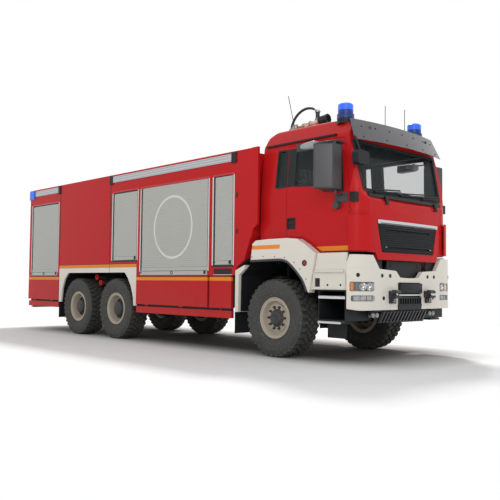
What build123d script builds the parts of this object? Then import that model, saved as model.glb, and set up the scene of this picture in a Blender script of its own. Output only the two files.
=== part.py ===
"""Three-axle airport fire truck: tilting cab, locker body with roller shutters, roof monitor.

While a piece is drawn, X runs forward from the front axle, Y to the vehicle's left and Z up
from the ground, in millimetres. save() then moves the origin to the middle of the length.
"""
from build123d import *
from math import cos, hypot, pi, sin
import os

os.makedirs("parts", exist_ok=True)

# Whole vehicle
front_reach = 1600            # front axle to the noses of the tow couplings
rear_reach = 7800             # front axle to the back of the rear bar
half_width = 1250             # middle of the body to its side
wheelbase = 4200
bogie_spacing = 1400
seam = 6                      # gap between neighbouring body panels
running_gap = 0.3             # gap at a seat between pieces that move apart

# Wheels
tyre_radius = 568
tyre_width = 390
lug_height = 17
lug_count = 18                # on each half of the tread
lug_draft = 0.02              # radians by which each flank of a lug leans in
tyre_sides = 30               # flat sides round the carcass
widest_radius = 432           # where the side wall bulges most
tread_half = 166
bead_radius = 262             # where the tyre sits on the rim
flange_radius = 300
rim_half_width = 172
flange_thickness = 12
barrel_inner_radius = 244
disc_thickness = 18
hub_radius = 96
track_half = half_width - 10 - tyre_width / 2
axle_height = tyre_radius
rear_axles = [-wheelbase, -wheelbase - bogie_spacing]

# Chassis
rail_outer = 450              # half the frame's width
rail_flange = 80
rail_sheet = 10
rail_bottom = 790
rail_top = 1060
rail_front = 1240
rail_rear = -7560
subframe_height = 130
subframe_front = -520
beam_radius = 62
axle_housing_radius = 190
axle_housing_half_width = 165
pinion_reach = 290            # from the axle to the end of its pinion nose
pinion_rise = 60
kingpin_y = 850
kingpin_radius = 26
eye_radius = 60
eye_height = 180
knuckle_plate = 40
hub_flange_radius = 120
hub_flange_thickness = 40
spring_y = 455
spring_width = 80
spring_depth = 60

# Cab
cab_half_width = 1120
cab_rear = -400
cab_side_front = 1290         # where the side turns into the front corner
cab_nose = 1485
nose_clearance = 8            # keeps the side outline ahead of the bowed front
cab_floor = 1500
cab_floor_thickness = 60
cab_belt = 2350
cab_eaves = 3125
cab_eaves_half_width = 1050
cab_roof_shoulder = (880, cab_eaves + 260)
cab_roof_crown = cab_eaves + 315
cab_wall = 55
firewall_x = 1425
panel_bottom = 1405
cowl_height = 2248
panel_half_width = 848
panel_foot_half_width = 724
tilt_pivot = (1322, 1100)     # X and Z of the tilt tube
tilt_tube_radius = 30
tilt_arm_y = (470, 510)
door_gap = 6
glass_thickness = 8
glass_inset = 16
glass_gap = running_gap
door_hinge = (1283, 1124)     # X and distance from the middle
hinge_radius = 10
hinge_pin_radius = 5
hinge_leaf = 35               # height of one knuckle
hinge_heights = (1640, 2040)
cabin_front = 1350            # inner face of the front wall

# Locker body
body_rear = -7770
body_top = 3125
body_floor = body_top - 1935
body_wall = 40
roof_plate_top = 3060
locker_split = -4400          # front lockers to tank
tank_split = -6360            # tank to rear lockers
body_front = -470
cheek_front = -340            # side panel that laps past the back of the cab
sill_top = 1185
flap_bottom = 675
flap_thickness = 36
guard_top = 635
guard_bottom = 522
raised_floor = 1345           # floor of the tank and of the locker over the rear wheels
pontoon_rear = -3486
pontoon_bottom = flap_bottom + 10
liner_inner_y = 560
liner_sheet = 12
fender_skin = 34
shutter_frame = 30
shutter_depth = 20
shutter_recess = 14
strip_proud = 14
arch_top = 1247

x_shift = (rear_reach - front_reach) / 2


def save(name, *solids):
    """Write one node, moved so that the origin is at mid-length on the ground."""
    parts = [s for shape in solids for s in shape.solids()]
    moved = [Pos(x_shift, 0, 0) * s for s in parts]
    export_step(moved[0] if len(moved) == 1 else Compound(moved), f"parts/{name}.step")


def block(x0, x1, y0, y1, z0, z1):
    """A box between two corners."""
    return Pos((x0 + x1) / 2, (y0 + y1) / 2, (z0 + z1) / 2) * Box(x1 - x0, y1 - y0, z1 - z0)


def outline(points, radius=0):
    """A closed outline with straight sides, its corners rounded by one radius."""
    face = make_face(Polyline(*points, close=True))
    return fillet(face.vertices(), radius) if radius else face


def from_side(face, y0, y1):
    """Extrude an outline drawn as X and Z between two Y planes."""
    return extrude(Plane.XZ.offset(-y1) * face, amount=y1 - y0, dir=(0, -1, 0))


def from_front(face, x0, x1):
    """Extrude an outline drawn as Y and Z between two X planes."""
    return extrude(Plane.YZ.offset(x0) * face, amount=x1 - x0, dir=(1, 0, 0))


def from_above(face, z0, z1):
    """Extrude an outline drawn as X and Y between two heights."""
    return extrude(Plane.XY.offset(z0) * face, amount=z1 - z0, dir=(0, 0, 1))


def rod(start, end, radius):
    """A round bar between two points."""
    a, b = Vector(*start), Vector(*end)
    return Plane(a, z_dir=b - a) * Cylinder(radius, (b - a).length,
                                            align=(Align.CENTER, Align.CENTER, Align.MIN))


def left_of(shape):
    """The mirror copy on the other side of the vehicle."""
    return mirror(shape, about=Plane.XZ)


def both_sides(*shapes):
    """Right-hand pieces with their left-hand copies."""
    return [copy for shape in shapes for copy in (shape, left_of(shape))]


def mirrored_points(points):
    """A half outline from the middle out, closed by its mirror image."""
    return points + [(-y, z) for y, z in reversed(points) if y]


# Wheels: profiles are drawn as radius and distance from the wheel's middle plane

def polygon_at(y, radius, sides):
    """A regular outline across the wheel's axis, with its corners at a radius."""
    return Plane((0, y, 0), x_dir=(1, 0, 0), z_dir=(0, 1, 0)) * RegularPolygon(radius, sides)


def lug_ring(y0, y1, turn):
    """Half a tread: a toothed disc whose teeth are the lugs."""
    pitch = 2 * pi / lug_count
    root = tyre_radius - lug_height
    points = []
    for index in range(lug_count):
        start = index * pitch + turn * pitch
        end = start + pitch / 2
        points += [(root, start), (tyre_radius, start + lug_draft)]
        points += [(tyre_radius, end - lug_draft), (root, end)]
    face = outline([(radius * cos(angle), radius * sin(angle)) for radius, angle in points])
    return from_side(face - RegularPolygon(widest_radius + 20, tyre_sides), y0, y1)


def tyre():
    """A tyre with its lugs, on the right-hand side."""
    flat = cos(pi / tyre_sides)
    bead = rim_half_width - flange_thickness - running_gap
    half = tyre_width / 2
    stations = [(bead, (flange_radius + running_gap) / flat), (half, widest_radius),
                (tread_half - 3, tyre_radius - lug_height - 5)]
    sections = [polygon_at(-y, radius, tyre_sides) for y, radius in stations]
    sections += [polygon_at(y, radius, tyre_sides) for y, radius in reversed(stations)]
    body = loft(sections, ruled=True)
    body += [lug_ring(-tread_half, 0, 0), lug_ring(0, tread_half, 0.5)]
    bore_outline = polygon_at(-half, (bead_radius + running_gap) / flat, tyre_sides)
    bore = extrude(bore_outline, amount=tyre_width, dir=(0, 1, 0))
    return Pos(0, -track_half, axle_height) * (body - bore)


def rim(x, disc_face, hub_face):
    """A disc wheel on the right; the faces are measured outward from the middle plane."""
    back = rim_half_width - flange_thickness
    profile = [(0, hub_face), (hub_radius, hub_face), (hub_radius + 12, disc_face),
               (190, disc_face), (barrel_inner_radius, rim_half_width), (flange_radius, rim_half_width),
               (flange_radius, back), (bead_radius, back), (bead_radius, -back),
               (flange_radius, -back), (flange_radius, -rim_half_width),
               (barrel_inner_radius, -rim_half_width), (barrel_inner_radius, disc_face - 90),
               (190, disc_face - disc_thickness), (0, disc_face - disc_thickness)]
    ring = outline([(r, -y) for r, y in profile])
    return Pos(x, -track_half, axle_height) * revolve(ring, Axis.Y)


front_disc_face = 100
front_hub_face = 178
rear_disc_face = 30
rear_hub_face = 120

wheel_stations = [            # name, X, disc face, hub face
    ("front", 0, front_disc_face, front_hub_face),
    ("middle", rear_axles[0], rear_disc_face, rear_hub_face),
    ("rear", rear_axles[1], rear_disc_face, rear_hub_face),
]
front_tyre = tyre()
for station, x, disc_face, hub_face in wheel_stations:
    right_tyre, right_rim = Pos(x, 0, 0) * front_tyre, rim(x, disc_face, hub_face)
    save(f"tyre_{station}_right", right_tyre)
    save(f"tyre_{station}_left", left_of(right_tyre))
    save(f"wheel_{station}_right", right_rim)
    save(f"wheel_{station}_left", left_of(right_rim))


# Axles, knuckles, springs and driveline

def hub_seat(disc_face):
    """Y of the back of a right-hand wheel's disc, where its hub flange bears."""
    return -track_half - disc_face + disc_thickness


def hub_flange(x, disc_face):
    seat = hub_seat(disc_face) + running_gap
    return rod((x, seat, axle_height), (x, seat + hub_flange_thickness, axle_height), hub_flange_radius)


def knuckle():
    """The right front steering knuckle: two plates round the axle's eye, and the stub."""
    top = axle_height + eye_height / 2 + 1
    low = axle_height - eye_height / 2 - 1
    pin = rod((0, -kingpin_y, low - knuckle_plate), (0, -kingpin_y, top + knuckle_plate),
              kingpin_radius - 0.05)
    stub_inner = -kingpin_y - eye_radius - 14
    plates = [block(-eye_radius, eye_radius, stub_inner - 20, -kingpin_y, z, z + knuckle_plate)
              + rod((0, -kingpin_y, z), (0, -kingpin_y, z + knuckle_plate), eye_radius)
              for z in (low - knuckle_plate, top)]
    web = block(-eye_radius, eye_radius, stub_inner - 30, stub_inner, low - knuckle_plate,
                top + knuckle_plate)
    spindle = rod((0, stub_inner - 15, axle_height), (0, hub_seat(front_disc_face) + 10, axle_height), 55)
    return pin + plates + web + spindle + hub_flange(0, front_disc_face)


right_knuckle = knuckle()
save("knuckle_right", right_knuckle)
save("knuckle_left", left_of(right_knuckle))


def axle(x, beam_end):
    """A driven axle: tube, round housing in the middle and its pinion nose."""
    tube = rod((x, -beam_end, axle_height), (x, beam_end, axle_height), beam_radius)
    half, radius = axle_housing_half_width, axle_housing_radius
    profile = outline([(0, -half), (radius * 0.5, -half), (radius * 0.86, -half * 0.6), (radius, -half * 0.2),
                       (radius, half * 0.2), (radius * 0.86, half * 0.6), (radius * 0.5, half), (0, half)])
    housing = Pos(x, 0, axle_height) * revolve(profile, Axis.Y)
    reach = -pinion_reach if x == 0 else pinion_reach
    nose = rod((x, 0, axle_height), (x + reach, 0, axle_height + pinion_rise), 80)
    return tube + housing + nose


front_axle = axle(0, kingpin_y - 20)
for side in (-1, 1):
    eye_foot = axle_height - eye_height / 2
    eye_low, eye_high = (0, side * kingpin_y, eye_foot), (0, side * kingpin_y, eye_foot + eye_height)
    front_axle += rod(eye_low, eye_high, eye_radius)
    front_axle -= rod(eye_low, eye_high, kingpin_radius)
rear_hub_inner = -hub_seat(rear_disc_face) - running_gap
bogie = [axle(x, rear_hub_inner - 5) + hub_flange(x, rear_disc_face) + left_of(hub_flange(x, rear_disc_face))
         for x in rear_axles]
save("axle_beams", front_axle, *bogie)

spring_seat = axle_height + beam_radius + 20


def spring_pack(x_mid, half_length, rise, y_side):
    """A bowed leaf spring with a hanger at each end that reaches up to the frame."""
    z = spring_seat
    bow = make_face([
        ThreePointArc((x_mid - half_length, z + rise), (x_mid, z), (x_mid + half_length, z + rise)),
        Line((x_mid + half_length, z + rise), (x_mid + half_length, z + rise + 24)),
        ThreePointArc((x_mid + half_length, z + rise + 24), (x_mid, z + spring_depth),
                      (x_mid - half_length, z + rise + 24)),
        Line((x_mid - half_length, z + rise + 24), (x_mid - half_length, z + rise))])
    y0 = y_side - spring_width / 2
    leaf = from_side(bow, y0, y0 + spring_width)
    for end in (-1, 1):
        x_end = x_mid + end * (half_length - 30)
        leaf += block(x_end - 30, x_end + 30, y0, y0 + spring_width, z + rise, rail_bottom)
    return leaf


front_springs = [spring_pack(0, 700, 70, side * (spring_y - spring_width / 2)) for side in (-1, 1)]
front_pads = [block(-70, 70, side * (spring_y - 40) - 40, side * (spring_y - 40) + 40,
                    axle_height + 20, spring_seat + 6) for side in (-1, 1)]
bogie_mid = sum(rear_axles) / 2


def bogie_spring(side):
    """The rear pair's shared spring: a long pack on a trunnion bracket under the frame."""
    y0 = side * (spring_y - 40) - 40
    arch = outline([(bogie_mid - 780, axle_height + 66), (bogie_mid - 780, axle_height + 110),
                    (bogie_mid - 120, axle_height + 200), (bogie_mid + 120, axle_height + 200),
                    (bogie_mid + 780, axle_height + 110), (bogie_mid + 780, axle_height + 66),
                    (bogie_mid + 120, axle_height + 120), (bogie_mid - 120, axle_height + 120)])
    saddle = block(bogie_mid - 110, bogie_mid + 110, y0, y0 + 80, axle_height + 150, rail_bottom)
    pads = [block(x - 60, x + 60, y0, y0 + 80, axle_height + 20, axle_height + 90) for x in rear_axles]
    return from_side(arch, y0, y0 + 80) + saddle + pads


springs = [spring + pad for spring, pad in zip(front_springs, front_pads)]
springs += [bogie_spring(side) for side in (-1, 1)]
beam_clear = [rod((x, -900, axle_height), (x, 900, axle_height), beam_radius)
              for x in [0] + rear_axles]
save("leaf_springs", *[spring - beam_clear for spring in springs])

shaft_radius = 45
transfer_x = -1500
shaft_gap = 0.5               # between a pinion nose and its shaft
transfer = block(transfer_x - 260, transfer_x + 260, -190, 190, 600, 940)
gearbox = block(-900, 90, -170, 170, 780, 1080) + rod((90, 0, 930), (130, 0, 930), 150)
nose_lift = axle_height + pinion_rise
nose_end = pinion_reach + shaft_gap
shafts = [rod((-nose_end, 0, nose_lift), (transfer_x + 260, 0, 690), shaft_radius),
          rod((-900, 0, 880), (transfer_x + 200, 0, 860), shaft_radius),
          rod((rear_axles[0] + nose_end, 0, nose_lift), (transfer_x - 200, 0, 720), shaft_radius),
          rod((rear_axles[1] + nose_end, 0, nose_lift), (rear_axles[0] - 150, 0, axle_height + 40), shaft_radius)]
front_shaft, gearbox_shaft, middle_shaft, rear_shaft = shafts
front_line = transfer + gearbox + front_shaft + gearbox_shaft + middle_shaft - front_axle - bogie[0]
save("drive_line", front_line, rear_shaft - bogie)

engine_box = block(130, 1120, -330, 330, 700, 1440)
engine_notch = block(-100, 640, -340, 340, 600, 900)
save("engine", engine_box - engine_notch)


# Chassis frame with its subframe, cross-members and the tilt tube

def channel(side):
    web_outer, flange_inner = side * rail_outer, side * (rail_outer - rail_flange)
    web_inner = side * (rail_outer - rail_sheet)
    web = block(rail_rear, rail_front, *sorted((web_outer, web_inner)), rail_bottom, rail_top)
    flanges = [block(rail_rear, rail_front, *sorted((web_outer, flange_inner)), z, z + rail_sheet)
               for z in (rail_bottom, rail_top - rail_sheet)]
    upper = block(rail_rear, subframe_front, *sorted((web_outer, flange_inner)),
                  rail_top, rail_top + subframe_height)
    return web + flanges + upper


pivot_x, pivot_z = tilt_pivot
bracket_width = 60
bracket_points = [(rail_front - 90, 955), (rail_front - 5, 955), (pivot_x + 40, pivot_z - 28),
                  (pivot_x, pivot_z + 45), (pivot_x - 60, pivot_z + 35), (rail_front - 90, 1045)]


def rail(side):
    """One side rail with the bracket that carries the tilt tube at its front end."""
    y0, y1 = sorted((side * rail_outer, side * (rail_outer - bracket_width)))
    bracket = from_side(outline(bracket_points), y0, y1)
    bracket += rod((pivot_x, y0, pivot_z), (pivot_x, y1, pivot_z), tilt_tube_radius + 20)
    bore = rod((pivot_x, y0, pivot_z), (pivot_x, y1, pivot_z), tilt_tube_radius + running_gap)
    return channel(side) + bracket - bore




def cross_member(x, room):
    """A bar across the frame that just fills the room between its rails."""
    half = room - running_gap
    return block(x - 30, x + 30, -half, half, 950, 1040)


members = [cross_member(rail_front - 50, rail_outer - bracket_width)]
members += [cross_member(x, rail_outer - rail_sheet) for x in (-2300, -3300, -4900, -6300, -7500)]
tube_end = tilt_arm_y[1] + 30
tilt_tube = rod((pivot_x, -tube_end, pivot_z), (pivot_x, tube_end, pivot_z), tilt_tube_radius)
save("chassis_frame", rail(-1), rail(1), *members, tilt_tube)


# Cab: the meeting of a side, a front and a plan outline

cab_side_points = [(cab_rear, panel_bottom), (cab_rear, cab_eaves + 165), (-230, cab_eaves + 285),
                   (50, cab_roof_crown), (1050, cab_eaves + 225), (1215, cab_eaves + 115), (1240, cab_eaves - 80),
                   (1404, 2315), (1474, 2200),
                   (cab_nose + nose_clearance, 1950), (cab_nose + nose_clearance, panel_bottom)]


def cab_side(inset):
    face = outline(cab_side_points)
    if inset:
        return offset(face, -inset, kind=Kind.INTERSECTION)
    roof = [v for v in face.vertices() if v.Y > 3200]
    return fillet(roof, 60)


def cab_front(inset):
    """The section across the cab: upright, leaning in above the belt, with a crowned roof."""
    half = cab_half_width - inset
    shoulder_y, shoulder_z = cab_roof_shoulder[0] - inset / 2, cab_roof_shoulder[1] - inset
    eaves = cab_eaves_half_width - inset
    right = Polyline((shoulder_y, shoulder_z), (eaves, cab_eaves), (half, cab_belt), (half, panel_bottom),
                     (-half, panel_bottom), (-half, cab_belt), (-eaves, cab_eaves), (-shoulder_y, shoulder_z))
    crown = ThreePointArc((-shoulder_y, shoulder_z), (0, cab_roof_crown - inset), (shoulder_y, shoulder_z))
    face = make_face([right, crown])
    corners = [v for v in face.vertices() if v.Y > cab_belt + 10]
    return fillet(corners, 110 - inset)


def cab_plan(inset):
    half, side_front = cab_half_width - inset, cab_side_front
    corner = (1462 - inset, 860)
    mid = (1420 - 0.83 * inset, 1019 - 0.55 * inset)
    return make_face([
        Line((cab_rear + inset, -half), (side_front, -half)),
        ThreePointArc((side_front, -half), (mid[0], -mid[1]), (corner[0], -corner[1])),
        ThreePointArc((corner[0], -corner[1]), (cab_nose - inset, 0), (corner[0], corner[1])),
        ThreePointArc(corner, mid, (side_front, half)),
        Line((side_front, half), (cab_rear + inset, half)),
        Line((cab_rear + inset, half), (cab_rear + inset, -half))])


def cab_form(inset):
    wide = cab_half_width + 50
    return (from_side(cab_side(inset), -wide, wide) & from_front(cab_front(inset), cab_rear - 10, cab_nose + 10)
            & from_above(cab_plan(inset), panel_bottom + (0 if inset == 0 else 1), cab_roof_crown + 60))


cab_outer = cab_form(0)
cab_room = cab_form(cab_wall)
floor_top = cab_floor + cab_floor_thickness
cab_space = cab_room & block(cab_rear, cabin_front, -1200, 1200, floor_top, 3500)
screen_room = cab_room & block(cabin_front - 5, 1500, -1200, 1200, cowl_height + 40, 3500)

door_top = cab_eaves - 47
pane_top = cab_eaves - 95
door_outline = [(127, 1735), (127, door_top), (1150, door_top), (1180, door_top - 118), (1286, 2330), (1286, 1508),
                (812, 1508), (742, 1556), (618, 1640), (470, 1720), (286, 1735)]
door_glass_outline = [(272, 2480), (272, pane_top), (1085, pane_top), (1190, 2335), (850, 2350), (650, 2455)]
quarter_outline = [(-95, 2485), (-80, pane_top), (72, pane_top), (72, 2480)]
screen_outline = [(-950, 2338), (950, 2338), (1008, pane_top + 2), (-1008, pane_top + 2)]
wall_zone = (-cab_half_width - 60, -990)

door_hole = from_side(outline(door_outline), *wall_zone)
door_prism = from_side(offset(outline(door_outline), -door_gap, kind=Kind.INTERSECTION), *wall_zone)
quarter_hole = from_side(outline(quarter_outline, 22), *wall_zone)
door_glass_hole = from_side(outline(door_glass_outline, 26), *wall_zone)
screen_hole = from_front(outline(screen_outline, 50), 1100, cab_nose + 30)

panel_outline = [(-panel_foot_half_width, panel_bottom), (panel_foot_half_width, panel_bottom),
                 (785, 1512), (panel_half_width, 1640), (panel_half_width, cowl_height),
                 (-panel_half_width, cowl_height), (-panel_half_width, 1640), (-785, 1512)]
panel_hole = from_front(offset(outline(panel_outline), seam / 2, kind=Kind.INTERSECTION), firewall_x, 1600)
cab_shell = cab_outer & block(cab_rear, 1600, -1200, 1200, cab_floor, 3500)
cab_shell -= [cab_space, screen_room, panel_hole, screen_hole]
cab_shell -= [door_hole, left_of(door_hole), quarter_hole, left_of(quarter_hole)]

# The tilt arms bend back round the top of the bumper, which they would meet at full tilt
arm_top = cab_floor + 20 - pivot_z
tilt_arm_points = [(-55, -20), (35, 45), (-40, 112), (-115, 176), (-80, 255), (60, arm_top - 15), (60, arm_top),
                   (-210, arm_top), (-200, 180)]
for side in (-1, 1):
    y0, y1 = sorted((side * tilt_arm_y[0], side * tilt_arm_y[1]))
    arm = from_side(outline([(pivot_x + x, pivot_z + z) for x, z in tilt_arm_points]), y0, y1)
    arm += rod((pivot_x, y0, pivot_z), (pivot_x, y1, pivot_z), tilt_tube_radius + 30)
    cab_shell += arm - rod((pivot_x, y0, pivot_z), (pivot_x, y1, pivot_z), tilt_tube_radius + running_gap)


def hinge_knuckle(z, side):
    """Half of a door hinge: a barrel on the hinge axis with a leaf that reaches forward or back."""
    x, y = door_hinge
    barrel = rod((x, -y, z), (x, -y, z + hinge_leaf), hinge_radius)
    x0, x1 = sorted((x, x + side * 32))
    return barrel + block(x0, x1, -y - 4, -y + 16, z, z + hinge_leaf)


def hinge_relief(z):
    x, y = door_hinge
    return rod((x, -y, z - 6), (x, -y, z + 2 * hinge_leaf + 6), hinge_radius + 6)


hinge_cuts = [hinge_relief(z) for z in hinge_heights]
hinge_axis_x, hinge_axis_y = door_hinge
shell_knuckles = [hinge_knuckle(z, 1)
                  + rod((hinge_axis_x, -hinge_axis_y, z), (hinge_axis_x, -hinge_axis_y, z + 2 * hinge_leaf),
                        hinge_pin_radius - 0.05)
                  for z in hinge_heights]
cab_shell -= both_sides(*hinge_cuts)
cab_shell += both_sides(*shell_knuckles)

# Air deflectors stand clear of the front corners on two ribs each
deflector_reach = 46
deflector_zone = block(1300, 1520, -1250, -905, 1515, 1990)
deflector_face = cab_plan(-deflector_reach) - cab_plan(16 - deflector_reach)
deflector = from_above(deflector_face, 1515, 1990) & deflector_zone
deflector_ribs = from_above(cab_plan(4 - deflector_reach) - cab_plan(8), 1560, 1590)
deflector_ribs += from_above(cab_plan(4 - deflector_reach) - cab_plan(8), 1915, 1945)
deflector += deflector_ribs & block(1330, 1520, -1250, -930, 1515, 1990)
cab_shell += both_sides(deflector)
save("cab_shell", cab_shell)

grille_outline = [(-646, 1508), (646, 1508), (754, 1950), (-754, 1950)]
grille_hole = from_front(outline(grille_outline, 18), firewall_x - 5, 1600)
seat_x = firewall_x + running_gap
front_panel = (cab_outer & from_front(outline(panel_outline), seat_x, 1600)) - grille_hole
save("front_panel", front_panel)

grille_depth = from_above(cab_plan(12), panel_bottom, cab_roof_crown)
grille_piece = from_front(offset(outline(grille_outline, 18), -0.5), seat_x, 1600) & grille_depth
bar_bottom = 1896
grille_body = grille_piece & block(1400, 1600, -800, 800, 1500, bar_bottom - 1)
for z in (1560, 1800):
    grille_body -= block(cab_nose - 40, 1600, -560, 560, z, z + 34)
save("grille", grille_body)
bar_form = from_above(cab_plan(-16), panel_bottom, cab_roof_crown)
grille_bar = (from_front(offset(outline(grille_outline, 18), -0.5), seat_x, 1600) & bar_form
              & block(1400, 1600, -800, 800, bar_bottom, 1960))
save("grille_bar", grille_bar)

screen_slab = from_side(outline([(1404 - glass_inset, 2315), (1404 - glass_inset - glass_thickness, 2315),
                                 (1240 - glass_inset - glass_thickness, cab_eaves - 80),
                                 (1240 - glass_inset, cab_eaves - 80)]),
                        -1100, 1100)
windscreen = screen_slab & from_front(offset(outline(screen_outline, 50), -glass_gap), 1100, 1500)


def side_pane(points, radius):
    """Glass set into the side wall, parallel to the wall's lean."""
    lean = (cab_half_width - cab_eaves_half_width) / (cab_eaves - cab_belt)
    low, high = 2300, 3100
    y_low = cab_half_width - glass_inset - (low - cab_belt) * lean
    y_high = cab_half_width - glass_inset - (high - cab_belt) * lean
    slab = from_front(outline([(-y_low, low), (-y_high, high), (glass_thickness - y_high, high),
                               (glass_thickness - y_low, low)]), cab_rear, cab_nose)
    return slab & from_side(offset(outline(points, radius), -glass_gap), *wall_zone)


save("cab_glass", windscreen, *both_sides(side_pane(quarter_outline, 22)))

# Doors, each with its glass, handle and mirrors
door_room = from_front(cab_front(cab_wall), cab_rear - 10, cab_nose + 10)
right_door = (cab_outer - door_room) & door_prism
right_door -= door_glass_hole
handle_pocket = block(150, 300, -1130, -1102, 1860, 2010)
handle_bar = block(160, 290, -1116, -1102, 1925, 1965)
right_door = right_door - handle_pocket + handle_bar - hinge_cuts
for z in hinge_heights:
    right_door += hinge_knuckle(z + hinge_leaf + running_gap, -1)
    right_door -= rod((hinge_axis_x, -hinge_axis_y, z), (hinge_axis_x, -hinge_axis_y, z + 3 * hinge_leaf),
                      hinge_pin_radius)
door_pane = side_pane(door_glass_outline, 26)

mirror_plan = [(1205, -1180), (1205, -1365), (985, -1505), (965, -1490), (965, -1200), (1010, -1180)]
main_mirror = from_above(outline(mirror_plan, 12), 2340, 2940)
mirror_arms = [rod((1150, -1250, 2930), (1130, -1250, 3000), 16),
               rod((1130, -1258, 3000), (1130, -1052, 3000), 16),
               rod((1150, -1250, 2350), (1150, -1250, 2270), 16),
               rod((1150, -1258, 2270), (1150, -1100, 2270), 16)]
kerb_mirror = from_above(outline([(480, -1300), (480, -1160), (760, -1150), (800, -1260)], 20), 2920, 3030)
kerb_arm = rod((700, -1240, 3015), (1130, -1240, 3000), 12)
mirror_foot = block(1045, 1262, -cab_half_width - 14, -cab_half_width + 4, 2170, 2300)
kerb_lamp = rod((1100, -1100, 2130), (1100, -1190, 2130), 50)
right_mirror = main_mirror + mirror_arms + kerb_mirror + kerb_arm + mirror_foot + kerb_lamp
right_mirror -= cab_outer
for side_name, placed in (("right", lambda s: s), ("left", left_of)):
    save(f"door_{side_name}", placed(right_door))
    save(f"door_glass_{side_name}", placed(door_pane))
    save(f"mirror_{side_name}", placed(right_mirror))

# Cab fittings: visor, lamps on the roof, black trim, interior


def visor_band(front_x, side_x, half, grow):
    """Plan of the visor at one height: a bowed sheet with swept ends."""
    return make_face([
        ThreePointArc((side_x + grow, -half - grow), (front_x + grow, 0), (side_x + grow, half + grow)),
        Line((side_x + grow, half + grow), (side_x, half)),
        ThreePointArc((side_x, half), (front_x, 0), (side_x, -half)),
        Line((side_x, -half), (side_x + grow, -half - grow))])


visor_low = Plane.XY.offset(cab_eaves - 100) * visor_band(1462, 1330, 1072, 10)
visor_high = Plane.XY.offset(cab_eaves + 210) * visor_band(1300, 1200, 1010, 10)
visor = loft([visor_low, visor_high], ruled=True)
visor -= cab_outer
visor_brackets = [block(1180, 1330, y - 12, y + 12, cab_eaves + 100, cab_eaves + 130) for y in (-700, 0, 700)]
visor = visor + [b - cab_outer for b in visor_brackets]
save("sun_visor", visor)

beacon_x, beacon_y, beacon_radius = 1010, 860, 108
beacon_foot = cab_roof_crown
beacon = Pos(beacon_x, -beacon_y, beacon_foot) * Cylinder(
    beacon_radius, 150, align=(Align.CENTER, Align.CENTER, Align.MIN))
beacon = chamfer(beacon.edges().group_by(Axis.Z)[-1], 18)
save("beacons", *both_sides(beacon))
beacon_base = rod((beacon_x, -beacon_y, beacon_foot - 140), (beacon_x, -beacon_y, beacon_foot),
                  beacon_radius + 12)
beacon_base -= cab_outer
drip_rail = block(-330, 1010, -1078, -1030, cab_eaves - 7, cab_eaves + 17) - cab_outer
corner_lamp = block(1300, 1392, -cab_half_width - 14, -1040, 2170, 2300) - cab_outer
whip_radius = 5
whip_foot = cab_eaves + 205
whips = [rod((900, 240, whip_foot), (900, 240, whip_foot + 460), whip_radius) - cab_outer,
         rod((900, 760, whip_foot), (900, 760, whip_foot + 500), whip_radius) - cab_outer,
         rod((0, -800, whip_foot + 50), (-150, -800, whip_foot + 610), whip_radius) - cab_outer]
front_mirror = from_front(outline([(-1180, 2660), (-950, 2660), (-930, 2840), (-1190, 2850)], 50), 1380, 1480)
front_mirror_arm = rod((1420, -1060, 2840), (1330, -1060, 3060), 14) - visor
front_mirror = (front_mirror + front_mirror_arm).solids().sort_by(SortBy.VOLUME)[-1]
save("cab_trim", *both_sides(beacon_base, drip_rail, corner_lamp), *whips, front_mirror)

dash_front = cabin_front - running_gap
dash = from_side(outline([(dash_front, 1800), (dash_front, 2240), (1210, 2285), (1000, 2240),
                          (960, 2000), (1060, 1800)], 24), -1000, 1000)
binnacle = from_side(outline([(1240, 2250), (1190, 2380), (980, 2370), (960, 2220)], 30), 380, 860)
column = rod((1080, 620, 2050), (880, 620, 2268), 40)
wheel_axis = Vector(-200, 0, 218).normalized()
rim_section = outline([(200, -6), (206, -14), (224, -14), (230, -6), (230, 6), (224, 14), (206, 14), (200, 6)])
steering_rim = revolve(Plane.XZ * rim_section, Axis.Z)
steering_wheel = Plane(Vector(880, 620, 2268), z_dir=wheel_axis) * (
    steering_rim + Box(410, 46, 14) + Cylinder(60, 30))


def seat(y):
    """A driver's seat: pedestal, cushion, back and head restraint."""
    base = block(200, 640, y - 190, y + 190, floor_top, 1960)
    cushion = from_side(outline([(130, 1960), (720, 1960), (740, 2090), (130, 2060)], 30), y - 250, y + 250)
    back = from_side(outline([(140, 2040), (260, 2040), (150, 2640), (40, 2640)], 30), y - 240, y + 240)
    head = from_side(outline([(50, 2600), (140, 2600), (120, 2800), (30, 2800)], 25), y - 140, y + 140)
    return base + cushion + back + head


save("cab_interior", dash + binnacle + column + steering_wheel)
save("seats", seat(620), seat(-620))


# Front bumper with its lamps, plate carrier and tow couplings
bumper_side_x = 1345
bumper_points = mirrored_points([(0, 1160), (231, 1168), (330, 1258), (707, 1280), (846, 1462),
                                 (1190, 1462), (half_width, 1352), (half_width, 745), (1100, 722)])


def bumper_plan(inset):
    side = half_width - inset
    corner = (1476 - inset, 860)
    mid = (1447 - 0.9 * inset, 1105 - 0.45 * inset)
    return make_face([
        Line((bumper_side_x - 1, -side), (bumper_side_x, -side)),
        ThreePointArc((bumper_side_x, -side), (mid[0], -mid[1]), (corner[0], -corner[1])),
        ThreePointArc((corner[0], -corner[1]), (1490 - inset, 0), corner),
        ThreePointArc(corner, mid, (bumper_side_x, side)),
        Line((bumper_side_x, side), (bumper_side_x - 1, side)),
        Line((bumper_side_x - 1, side), (bumper_side_x - 1, -side))])


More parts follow.
